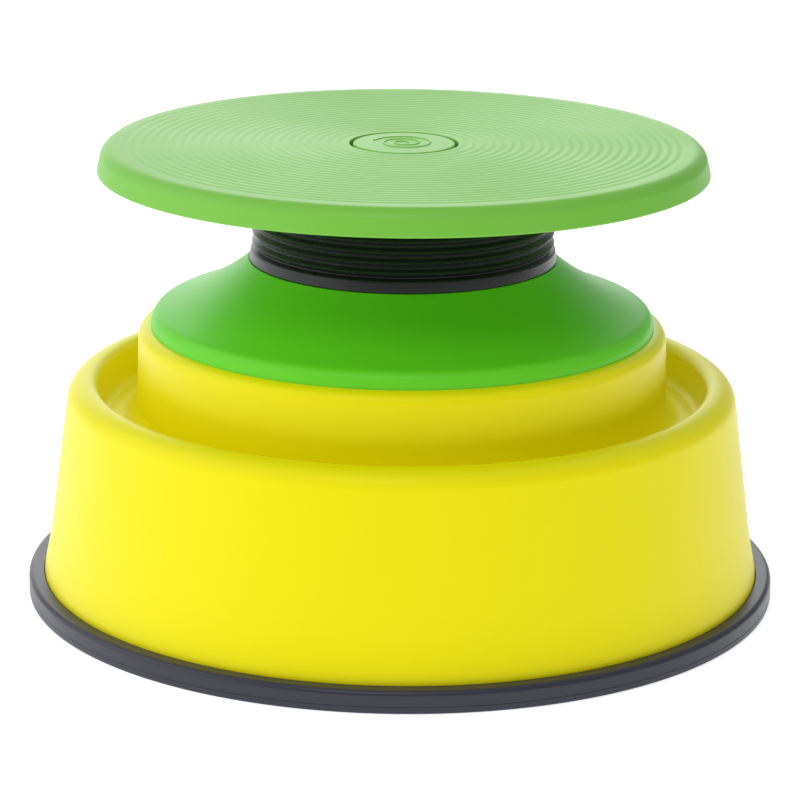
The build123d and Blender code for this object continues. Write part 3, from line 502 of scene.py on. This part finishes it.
class POTTERY_OT_wheel_head(Operator):
    """Turn the grooved wheel head with its ribs and hub"""

    bl_idname = "pottery.wheel_head"
    bl_label = "Wheel head"

    def execute(self, context):
        sizes = context.scene.pottery_head
        top = CAP_HIGH.z
        low = top - sizes.edge_height
        under = top - sizes.plate
        rib_low = under - sizes.rib_depth
        radius = HEAD_HIGH.x
        recess = CAP_HIGH.x + sizes.cap_gap
        seat = top - sizes.cap_seat
        drip_low = under - 1.2 * sizes.rib_depth
        drip_outer = sizes.drip_radius + sizes.rib_width
        bore = SPINDLE_HIGH.x
        pocket = WASHER_HIGH.x + 0.6 * MM
        rings = int((sizes.groove_end - sizes.groove_start) / sizes.groove_pitch)
        parts = 6
        screw_hole = 0.54 * bore
        cap_well = CAP_HIGH.x + 4 * MM
        rib_reach = radius - 0.85 * sizes.skirt
        rib_top = under + 0.2 * sizes.plate
        grooves = []
        for step in range(rings * parts + 1):
            turn = step / parts
            dip = sizes.groove_depth * (1 - cos(FULL_TURN * turn)) / 2
            grooves.append((sizes.groove_start + turn * sizes.groove_pitch, top - dip, 0.0))
        outline = [
            (bore, HEAD_LOW.z, 0.0),
            (bore, SPINDLE_HIGH.z, 0.0),
            (screw_hole, SPINDLE_HIGH.z, 0.0),
            (screw_hole, WASHER_LOW.z, 0.0),
            (pocket, WASHER_LOW.z, 0.0),
            (pocket, seat, 0.0),
            (recess, seat, 0.0),
            (recess, top, 0.5 * MM),
            *grooves,
            (radius - sizes.draft, top, sizes.edge_round),
            (radius, low, 0.5 * MM),
            (radius - sizes.skirt, low, 0.4 * MM),
            (radius - sizes.skirt, under, 1.0 * MM),
            (drip_outer, under, 0.4 * MM),
            (drip_outer, drip_low, 0.4 * MM),
            (sizes.drip_radius, drip_low, 0.4 * MM),
            (sizes.drip_radius, under, 0.4 * MM),
            (cap_well, under, 0.0),
            (cap_well, rib_low, 0.4 * MM),
            (sizes.hub_radius, rib_low, 0.8 * MM),
            (sizes.hub_radius, HEAD_LOW.z, 0.6 * MM),
        ]
        bm = bmesh.new()
        turned(bm, outline, steps=192)
        for index in range(sizes.rib_count):
            rib = box_shape(
                bm,
                (CAP_HIGH.x, -sizes.rib_width / 2, rib_low),
                (rib_reach, sizes.rib_width / 2, rib_top),
            )
            around = Matrix.Rotation(index * FULL_TURN / sizes.rib_count, 3, "Z")
            bmesh.ops.rotate(bm, verts=rib, cent=(0, 0, 0), matrix=around)
        piece = mesh_object("wheel_head_turned", bm)
        place_piece(piece, bpy.data.materials["head green with painted reflection"], "wheel", ["wheel_head"])
        return {"FINISHED"}


class POTTERY_OT_head_cap(Operator):
    """Turn the cap in the middle of the head and raise a plain spiral on it"""

    bl_idname = "pottery.head_cap"
    bl_label = "Head cap"

    def execute(self, context):
        sizes = context.scene.pottery_head
        top = CAP_HIGH.z
        plate_low = top - 2.6 * MM
        stem = CAP_HIGH.x - 2 * MM
        stem_inner = stem - 2 * MM
        outline = [
            (0.0, top, 0.0),
            (0.5 * CAP_HIGH.x, top, 0.0),
            (CAP_HIGH.x, top, 0.7 * MM),
            (CAP_HIGH.x, plate_low, 0.3 * MM),
            (stem, plate_low, 0.3 * MM),
            (stem, CAP_LOW.z, 0.3 * MM),
            (stem_inner, CAP_LOW.z, 0.3 * MM),
            (stem_inner, plate_low, 0.3 * MM),
            (0.0, plate_low, 0.0),
        ]
        bm = bmesh.new()
        turned(bm, outline, steps=96)
        cap = mesh_object("head_cap_turned", bm)
        green = bpy.data.materials["head green with painted reflection"]
        place_piece(cap, green, "wheel", ["head_cap"])

        turns, per_turn = 2.5, 20
        first_reach, last_reach = 1.2 * MM, 0.62 * CAP_HIGH.x
        bead, sunk = 0.42 * MM, 0.12 * MM
        path = bpy.data.curves.new("spiral", "CURVE")
        path.dimensions = "3D"
        path.bevel_depth = bead
        path.bevel_resolution = 3
        path.use_fill_caps = True
        line = path.splines.new("NURBS")
        count = int(turns * per_turn)
        line.points.add(count - 1)
        for index, point in enumerate(line.points):
            angle = index * FULL_TURN / per_turn
            reach = first_reach + (last_reach - first_reach) * index / (count - 1)
            point.co = (reach * cos(angle), reach * sin(angle), top - sunk, 1.0)
        line.order_u = 3
        line.use_endpoint_u = True
        drawn = bpy.data.objects.new("spiral", path)
        context.scene.collection.objects.link(drawn)
        context.view_layer.update()
        mesh = bpy.data.meshes.new_from_object(drawn.evaluated_get(context.evaluated_depsgraph_get()))
        bpy.data.objects.remove(drawn)
        mesh.name = "cap_spiral"
        mesh.shade_smooth()
        spiral = bpy.data.objects.new("cap_spiral", mesh)
        context.scene.collection.objects.link(spiral)
        place_piece(spiral, green, "wheel")
        return {"FINISHED"}


class POTTERY_OT_neck_boot(Operator):
    """Turn the ribbed rubber boot round the neck"""

    bl_idname = "pottery.neck_boot"
    bl_label = "Neck boot"

    def execute(self, context):
        sizes = context.scene.pottery_neck
        cover = context.scene.pottery_cover
        collar_top = BOOT_LOW.z + sizes.collar_height
        ribs_low = collar_top + 0.7 * MM
        parts = 10
        narrowing = 1.1
        ribs = []
        for step in range(1, sizes.rib_count * parts):
            turn = step / parts
            swell = (1 - cos(FULL_TURN * turn)) / 2
            reach = sizes.root_radius + (sizes.rib_radius - sizes.root_radius) * swell**narrowing
            ribs.append((reach, ribs_low + turn * sizes.rib_pitch, 0.0))
        sleeve = cover.sleeve_radius
        sleeve_inner = sleeve - cover.wall
        crown = BOOT_HIGH.z - sizes.lip
        outline = [
            (sleeve, BOOT_LOW.z, 0.0),
            (BOOT_HIGH.x, BOOT_LOW.z, 0.45 * MM),
            (BOOT_HIGH.x - sizes.collar_taper, collar_top, 0.8 * MM),
            (sizes.root_radius, ribs_low, 0.3 * MM),
            *ribs,
            (sizes.root_radius, crown - 0.4 * MM, 0.0),
            (sizes.root_radius, BOOT_HIGH.z, 0.9 * MM),
            (sleeve_inner, BOOT_HIGH.z, 0.5 * MM),
            (sleeve_inner, crown, 0.0),
            (sleeve, crown, 0.0),
        ]
        bm = bmesh.new()
        turned(bm, outline, steps=160, segments=5)
        boot = mesh_object("neck_boot_turned", bm)
        place_piece(boot, bpy.data.materials["boot rubber"], "base", ["neck_boot"])
        return {"FINISHED"}


class POTTERY_OT_cone_cover(Operator):
    """Turn the cone cover with its sleeve and rounded lip"""

    bl_idname = "pottery.cone_cover"
    bl_label = "Cone cover"

    def execute(self, context):
        sizes = context.scene.pottery_cover
        seat = BOOT_LOW.z
        start = (BOOT_HIGH.x + sizes.seat_margin, seat)
        shoulder = (COVER_HIGH.x - sizes.lip_reach, COVER_LOW.z + sizes.lip_height)
        slope_run, lip_run, lip_drop = 10 * MM, 2.2 * MM, 2.6 * MM
        slope_points, lip_points = 24, 12
        steep_angle, shallow_angle = radians(-44), radians(-17.5)
        steep = Vector((cos(steep_angle), sin(steep_angle)))
        shallow = Vector((cos(shallow_angle), sin(shallow_angle)))
        slope = interpolate_bezier(
            Vector(start),
            Vector(start) + slope_run * steep,
            Vector(shoulder) - slope_run * shallow,
            Vector(shoulder),
            slope_points,
        )
        lip = interpolate_bezier(
            Vector(shoulder),
            Vector(shoulder) + lip_run * shallow,
            Vector((COVER_HIGH.x, COVER_LOW.z + lip_drop)),
            Vector((COVER_HIGH.x, COVER_LOW.z)),
            lip_points,
        )
        outline = [
            (sizes.sleeve_radius, COVER_HIGH.z, 0.0),
            (sizes.sleeve_radius, seat, 0.0),
            *[(point.x, point.y, 0.0) for point in slope],
            *[(point.x, point.y, 0.0) for point in lip[1:]],
        ]
        bm = bmesh.new()
        turned(bm, walled(outline, sizes.wall, side=-1), steps=192)
        cover = mesh_object("cone_cover_turned", bm)
        place_piece(cover, bpy.data.materials["cover green with painted light"], "base", ["cone_cover"])
        return {"FINISHED"}


class POTTERY_OT_splash_base(Operator):
    """Turn the splash base with its moat and cut the switch recess"""

    bl_idname = "pottery.splash_base"
    bl_label = "Splash base"

    def execute(self, context):
        sizes = context.scene.pottery_base
        switch = context.scene.pottery_switch
        flare_low = RING_HIGH.z + 0.8 * MM
        flare_round, wall_round = 12 * MM, 40 * MM
        rim_outer_round, rim_inner_round = 6.8 * MM, 3.1 * MM
        moat_outer_round, moat_inner_round = 2.8 * MM, 5.5 * MM
        deck_round = 4.0 * MM
        outline = [
            (BASE_HIGH.x, BASE_LOW.z, 0.0),
            (BASE_HIGH.x, flare_low, flare_round),
            (sizes.low_radius, sizes.low_height, wall_round),
            (sizes.rim_radius, sizes.rim_height, rim_outer_round),
            (sizes.rim_inner, sizes.rim_height, rim_inner_round),
            (sizes.moat_outer, sizes.moat_height, moat_outer_round),
            (sizes.moat_inner, sizes.moat_height, moat_inner_round),
            (sizes.pedestal_radius, BASE_HIGH.z, deck_round),
            (sizes.deck_hole, BASE_HIGH.z, 0.0),
        ]
        bm = bmesh.new()
        turned(bm, walled(outline, sizes.wall, side=1), steps=192, segments=10)
        base = mesh_object("splash_base_turned", bm)

        middle = (BEZEL_LOW.z + BEZEL_HIGH.z) / 2
        half_wide = BEZEL_HIGH.x + switch.margin
        half_high = (BEZEL_HIGH.z - BEZEL_LOW.z) / 2 + switch.margin
        collar, proud = 3.5 * MM, 0.8 * MM
        backing_round, recess_round, opening_round = 3 * MM, 1.5 * MM, 0.4 * MM
        backing = rounded_block(
            (-half_wide - collar, switch.face - switch.backing, middle - half_high - collar),
            (half_wide + collar, switch.face + proud, middle + half_high + collar),
            backing_round,
            axis=1,
        )
        cut_with(base, backing, "UNION")
        recess = rounded_block(
            (-half_wide, switch.face, middle - half_high),
            (half_wide, BASE_HIGH.x, middle + half_high),
            recess_round,
            axis=1,
        )
        cut_with(base, recess, "DIFFERENCE")
        opening = rounded_block(
            (-switch.body_width / 2, switch.face - 2 * switch.backing, middle - switch.body_height / 2),
            (switch.body_width / 2, BASE_HIGH.x, middle + switch.body_height / 2),
            opening_round,
            axis=1,
        )
        cut_with(base, opening, "DIFFERENCE")

        extras = bmesh.new()
        extras.from_mesh(base.data)
        screw_bore = 1.5 * MM
        boss_circle = PLATE_HIGH.x - 19.3 * MM
        bosses, posts = 6, 4
        plate_thickness = 2.8 * MM
        boss_low = PLATE_LOW.z + plate_thickness
        boss_top = sizes.moat_height - sizes.wall / 2
        post_top = BASE_HIGH.z - sizes.wall / 2
        for index in range(bosses):
            angle = index * FULL_TURN / bosses
            outer = sizes.boss_radius
            boss = [
                (screw_bore, boss_low, 0.0),
                (outer, boss_low, 0.0),
                (outer, boss_top, 0.0),
                (screw_bore, boss_top, 0.0),
            ]
            turned(extras, boss, steps=24, centre=(boss_circle * cos(angle), boss_circle * sin(angle)))
        for index in range(posts):
            angle = (index + 0.5) * FULL_TURN / posts
            post = [
                (screw_bore, GEAR_PLATE_HIGH.z, 0.0),
                (sizes.post_radius, GEAR_PLATE_HIGH.z, 0.0),
                (sizes.post_radius, post_top, 0.0),
                (screw_bore, post_top, 0.0),
            ]
            reach = sizes.post_circle
            turned(extras, post, steps=24, centre=(reach * cos(angle), reach * sin(angle)))
        extras.to_mesh(base.data)
        extras.free()
        base.data.shade_smooth()
        base.data.set_sharp_from_angle(angle=SHARP_ANGLE)
        place_piece(base, bpy.data.materials["base yellow"], "base", ["splash_base"])
        return {"FINISHED"}


class POTTERY_OT_foot_ring(Operator):
    """Turn the rubber foot ring with its parting line"""

    bl_idname = "pottery.foot_ring"
    bl_label = "Foot ring"

    def execute(self, context):
        seam = 2.3 * MM
        ridge = 0.12 * MM
        outer = RING_HIGH.x
        inner = 109.0 * MM
        lip = BASE_HIGH.x + 0.1 * MM
        outline = [
            (inner, RING_LOW.z, 0.0),
            (outer, RING_LOW.z, 0.8 * MM),
            (outer, seam - ridge, 0.0),
            (outer - ridge, seam, 0.0),
            (outer, seam + ridge, 0.0),
            (outer, RING_HIGH.z, 1.8 * MM),
            (lip, RING_HIGH.z, 0.35 * MM),
            (lip, BASE_LOW.z, 0.0),
            (inner, BASE_LOW.z, 0.0),
        ]
        bm = bmesh.new()
        turned(bm, outline, steps=192, segments=6)
        ring = mesh_object("foot_ring_turned", bm)
        place_piece(ring, bpy.data.materials["foot rubber"], "base", ["foot_ring"])
        return {"FINISHED"}


class POTTERY_OT_switch(Operator):
    """Build the rocker switch in the back wall"""

    bl_idname = "pottery.switch"
    bl_label = "Rocker switch"

    def execute(self, context):
        sizes = context.scene.pottery_switch
        middle = (BEZEL_LOW.z + BEZEL_HIGH.z) / 2
        bezel_half_high = (BEZEL_HIGH.z - BEZEL_LOW.z) / 2
        well_floor = BEZEL_LOW.y + 1.5 * MM
        just_below = 0.1 * MM
        bm = bmesh.new()
        box_shape(
            bm,
            (-sizes.body_width / 2, BEZEL_LOW.y, middle - sizes.body_height / 2),
            (sizes.body_width / 2, sizes.face, middle + sizes.body_height / 2),
        )
        steps = [
            (BEZEL_HIGH.x, bezel_half_high, sizes.face),
            (BEZEL_HIGH.x, bezel_half_high, BEZEL_HIGH.y),
            (sizes.well_width / 2, sizes.well_height / 2, BEZEL_HIGH.y),
            (sizes.well_width / 2, sizes.well_height / 2, well_floor),
        ]
        face = max(bm.faces, key=lambda candidate: candidate.calc_center_median().y)
        for half_wide, half_high, depth in steps:
            face = bmesh.ops.extrude_discrete_faces(bm, faces=[face])["faces"][0]
            for vert in face.verts:
                side = 1 if vert.co.x > 0 else -1
                level = 1 if vert.co.z > middle else -1
                vert.co = (side * half_wide, depth, middle + level * half_high)
        front = sizes.face - just_below
        lip = [edge for edge in bm.edges if all(vert.co.y > front for vert in edge.verts)]
        bmesh.ops.bevel(
            bm,
            geom=lip,
            offset=0.4 * MM,
            offset_type="OFFSET",
            segments=3,
            profile=0.5,
            affect="EDGES",
            material=-1,
        )
        bmesh.ops.recalc_face_normals(bm, faces=bm.faces[:])
        bezel = mesh_object("switch_bezel_frame", bm)
        black = bpy.data.materials["switch black"]
        place_piece(bezel, black, "base", ["switch_housing"])

        half_wide = ROCKER_HIGH.x
        crest = ROCKER_HIGH.y
        key_height, shoulder, foot_half_wide, dish = 9.0 * MM, 1.5 * MM, 1.6 * MM, 1.4 * MM
        low = middle - key_height / 2
        outline = [
            (-half_wide, sizes.pivot - shoulder),
            (-half_wide, crest),
            (0.0, crest - dish),
            (half_wide, crest),
            (half_wide, sizes.pivot - shoulder),
            (foot_half_wide, ROCKER_LOW.y),
            (-foot_half_wide, ROCKER_LOW.y),
        ]
        bm = bmesh.new()
        lower = bm.faces.new([bm.verts.new((x, y, low)) for x, y in outline])
        raised = bmesh.ops.extrude_face_region(bm, geom=[lower])
        tops = [item for item in raised["geom"] if isinstance(item, bmesh.types.BMVert)]
        bmesh.ops.translate(bm, verts=tops, vec=(0.0, 0.0, key_height))
        bmesh.ops.recalc_face_normals(bm, faces=bm.faces[:])
        bmesh.ops.bevel(
            bm,
            geom=bm.edges[:],
            offset=0.45 * MM,
            offset_type="OFFSET",
            segments=3,
            profile=0.5,
            affect="EDGES",
            material=-1,
        )
        rocker = mesh_object("rocker_key", bm)
        place_piece(rocker, black, "rocker", ["rocker"])
        return {"FINISHED"}


class POTTERY_OT_materials(Operator):
    """Mix the finishes and give the drive, the screws and the casing theirs"""

    bl_idname = "pottery.materials"
    bl_label = "Finishes"

    def execute(self, context):
        colours = context.scene.pottery_colours
        shared_groups()
        # One green plastic in two materials: the head's paler colour is a painted reflection, the cover's
        # brighter green is painted light in the shade under the head.
        solid_finish("head green with painted reflection", colours.head, (0.36, 0.44), 0.12, tint=0.03, sheen=(0.9, 1.0, 0.8))
        solid_finish("cover green with painted light", colours.cover, (0.36, 0.44), 0.12, tint=0.03, sheen=(0.75, 1.0, 0.6))
        solid_finish("base yellow", colours.base, (0.34, 0.42), 0.12, tint=0.02, sheen=(1.0, 0.95, 0.3))
        solid_finish("boot rubber", colours.boot, (0.24, 0.3), 0.15, tint=0.1)
        solid_finish("foot rubber", colours.foot, (0.3, 0.38), 0.2, tint=0.08)
        casing = solid_finish("inner casing", colours.casing, (0.5, 0.62), 0.6, fine=1500.0)
        black = solid_finish("switch black", (0.012, 0.012, 0.013), (0.22, 0.3), 0.1)
        steel = solid_finish("zinc steel", (0.6, 0.6, 0.62), (0.28, 0.42), 0.3, metal=1.0)
        ground = solid_finish("ground steel", (0.62, 0.62, 0.63), (0.18, 0.28), 0.2, metal=1.0)
        bronze = solid_finish("sintered bronze", (0.5, 0.33, 0.15), (0.4, 0.55), 0.6, metal=1.0, fine=900.0)
        nylon = solid_finish("gear nylon", (0.8, 0.79, 0.72), (0.4, 0.5), 0.2)
        sleeve = solid_finish("cell sleeve", (0.03, 0.05, 0.09), (0.25, 0.35), 0.1, coat=0.5)
        nickel = solid_finish("contact nickel", (0.66, 0.64, 0.6), (0.2, 0.34), 0.2, metal=1.0)
        ferrite = solid_finish("ferrite", (0.035, 0.034, 0.034), (0.6, 0.75), 0.6, fine=1200.0)
        endcap = solid_finish("end cap", (0.68, 0.67, 0.62), (0.4, 0.5), 0.3)
        red = solid_finish("red wire", (0.42, 0.012, 0.01), (0.35, 0.45), 0.1)
        dark = solid_finish("black wire", (0.014, 0.014, 0.014), (0.35, 0.45), 0.1)
        by_slot = {
            "charcoal_plastic": casing,
            "black_plastic": black,
            "screw_steel": steel,
            "shaft_steel": ground,
            "motor_steel": steel,
            "contact_nickel": nickel,
            "bush_bronze": bronze,
            "battery_sleeve": sleeve,
            "magnet_ferrite": ferrite,
            "endcap_plastic": endcap,
            "gear_nylon": nylon,
            "washer_nylon": nylon,
            "wire_red": red,
            "wire_black": dark,
        }
        for part in frame["record"]["subparts"]:
            node = frame["nodes"][part["node"]]
            finish = by_slot.get(part["material_slot"])
            if finish:
                for slot in node.material_slots:
                    slot.material = finish
        return {"FINISHED"}


# ---------------------------------------------------------------- stage


def area_light(name, place, target, size, power):
    """A soft white rectangular light that looks at a target."""
    data = bpy.data.lights.new(name, "AREA")
    data.shape = "RECTANGLE"
    data.size, data.size_y = size
    data.energy = power
    light = bpy.data.objects.new(name, data)
    light.location = place
    light.rotation_euler = (Vector(target) - Vector(place)).to_track_quat("-Z", "Y").to_euler()
    bpy.context.scene.collection.objects.link(light)


def graded(tree, source, low, high, start, end):
    """A smooth step of a value from one level to another."""
    step = tree.nodes.new("ShaderNodeMapRange")
    step.interpolation_type = "SMOOTHSTEP"
    for name, value in (("From Min", low), ("From Max", high), ("To Min", start), ("To Max", end)):
        step.inputs[name].default_value = value
    tree.links.new(source, step.inputs["Value"])
    return step.outputs["Result"]


def combined(tree, operation, first, second):
    """Two values put together by a math node."""
    node = tree.nodes.new("ShaderNodeMath")
    node.operation = operation
    tree.links.new(first, node.inputs[0])
    tree.links.new(second, node.inputs[1])
    return node.outputs["Value"]


def studio_world():
    """Walls lit behind and to the left and more so higher up, dim elsewhere, and a white backdrop."""
    dim, left_level, back_level = 0.33, 1.3, 2.15
    world = bpy.data.worlds.new("studio")
    world.use_nodes = True
    tree = world.node_tree
    place = tree.nodes.new("ShaderNodeTexCoord")
    split = tree.nodes.new("ShaderNodeSeparateXYZ")
    tree.links.new(place.outputs["Generated"], split.inputs["Vector"])
    left = graded(tree, split.outputs["X"], low=-0.98, high=-0.45, start=left_level, end=dim)
    far_wall = graded(tree, split.outputs["Y"], low=0.68, high=1.0, start=dim, end=back_level)
    fading = graded(tree, split.outputs["X"], low=0.06, high=0.36, start=1.0, end=dim)
    back = combined(tree, "MULTIPLY", far_wall, fading)
    high = graded(tree, split.outputs["Z"], low=0.15, high=0.85, start=0.85, end=2.0)
    level = combined(tree, "MULTIPLY", combined(tree, "MAXIMUM", left, back), high)
    walls = tree.nodes["Background"]
    walls.inputs["Color"].default_value = (0.98, 0.99, 1.0, 1.0)
    tree.links.new(level, walls.inputs["Strength"])
    backdrop = tree.nodes.new("ShaderNodeBackground")
    backdrop.inputs["Color"].default_value = (1.0, 1.0, 1.0, 1.0)
    seen = tree.nodes.new("ShaderNodeLightPath")
    choice = tree.nodes.new("ShaderNodeMixShader")
    tree.links.new(seen.outputs["Is Camera Ray"], choice.inputs["Fac"])
    tree.links.new(walls.outputs["Background"], choice.inputs[1])
    tree.links.new(backdrop.outputs["Background"], choice.inputs[2])
    tree.links.new(choice.outputs["Shader"], tree.nodes["World Output"].inputs["Surface"])
    return world


class POTTERY_OT_stage(Operator):
    """Lay the pale floor and set the soft lights and the camera"""

    bl_idname = "pottery.stage"
    bl_label = "Stage"

    def execute(self, context):
        scene = context.scene
        sizes = scene.pottery_stage
        aim = (0.0, 0.0, 0.08)
        bm = bmesh.new()
        bmesh.ops.create_grid(bm, x_segments=4, y_segments=4, size=1.6)
        floor = mesh_object("floor", bm)
        pale = bpy.data.materials.new("pale floor")
        pale.use_nodes = True
        paint = pale.node_tree.nodes["Principled BSDF"]
        paint.inputs["Base Color"].default_value = (0.8, 0.8, 0.81, 1.0)
        paint.inputs["Roughness"].default_value = 0.8
        paint.inputs["Emission Color"].default_value = (0.97, 0.98, 1.0, 1.0)
        paint.inputs["Emission Strength"].default_value = 0.66
        floor.data.materials.append(pale)
        scene.world = studio_world()
        area_light("left softbox", place=(-1.7, -0.9, 0.9), target=aim, size=(1.2, 1.2), power=0.4)
        area_light("front softbox", place=(-0.3, -1.3, 1.6), target=aim, size=(1.1, 0.5), power=4.6)

        data = bpy.data.cameras.new("camera")
        data.lens = sizes.camera_lens
        data.sensor_width = 36.0
        data.clip_end = 50.0
        camera = bpy.data.objects.new("camera", data)
        camera.location = (0.0, -sizes.camera_distance, sizes.camera_height)
        look = Euler((pi / 2 - sizes.camera_pitch, 0.0, sizes.camera_yaw)).to_matrix()
        camera.rotation_euler = (look @ Matrix.Rotation(sizes.camera_roll, 3, "Z")).to_euler()
        scene.collection.objects.link(camera)
        scene.camera = camera
        scene.view_settings.view_transform = "Standard"
        return {"FINISHED"}


class POTTERY_PT_panel(Panel):
    """Lists the wheel's pieces, sizes and colours"""

    bl_idname = "POTTERY_PT_panel"
    bl_label = "Pottery wheel"
    bl_space_type = "VIEW_3D"
    bl_region_type = "UI"
    bl_category = "Pottery"

    def draw(self, context):
        layout = self.layout
        for operator in OPERATORS:
            layout.operator(operator.bl_idname)
        for name, group in GROUPS.items():
            box = layout.box()
            box.label(text=group.__doc__)
            values = getattr(context.scene, name)
            for field in group.__annotations__:
                box.prop(values, field)


GROUPS = {
    "pottery_head": HeadSizes,
    "pottery_neck": NeckSizes,
    "pottery_cover": CoverSizes,
    "pottery_base": BaseSizes,
    "pottery_switch": SwitchSizes,
    "pottery_colours": Colours,
    "pottery_stage": StageSizes,
}
OPERATORS = (
    POTTERY_OT_materials,
    POTTERY_OT_wheel_head,
    POTTERY_OT_head_cap,
    POTTERY_OT_neck_boot,
    POTTERY_OT_cone_cover,
    POTTERY_OT_splash_base,
    POTTERY_OT_foot_ring,
    POTTERY_OT_switch,
    POTTERY_OT_stage,
)


def register():
    """Register the sizes, the operators and the panel."""
    for name, group in GROUPS.items():
        bpy.utils.register_class(group)
        setattr(bpy.types.Scene, name, PointerProperty(type=group))
    for operator in OPERATORS:
        bpy.utils.register_class(operator)
    bpy.utils.register_class(POTTERY_PT_panel)


def unregister():
    """Take everything out again in the opposite order."""
    bpy.utils.unregister_class(POTTERY_PT_panel)
    for operator in reversed(OPERATORS):
        bpy.utils.unregister_class(operator)
    for name, group in reversed(GROUPS.items()):
        delattr(bpy.types.Scene, name)
        bpy.utils.unregister_class(group)


def main():
    """Build the whole wheel."""
    register()
    bpy.ops.pottery.materials()
    bpy.ops.pottery.wheel_head()
    bpy.ops.pottery.head_cap()
    bpy.ops.pottery.neck_boot()
    bpy.ops.pottery.cone_cover()
    bpy.ops.pottery.splash_base()
    bpy.ops.pottery.foot_ring()
    bpy.ops.pottery.switch()
    bpy.ops.pottery.stage()


if __name__ == "__main__":
    main()
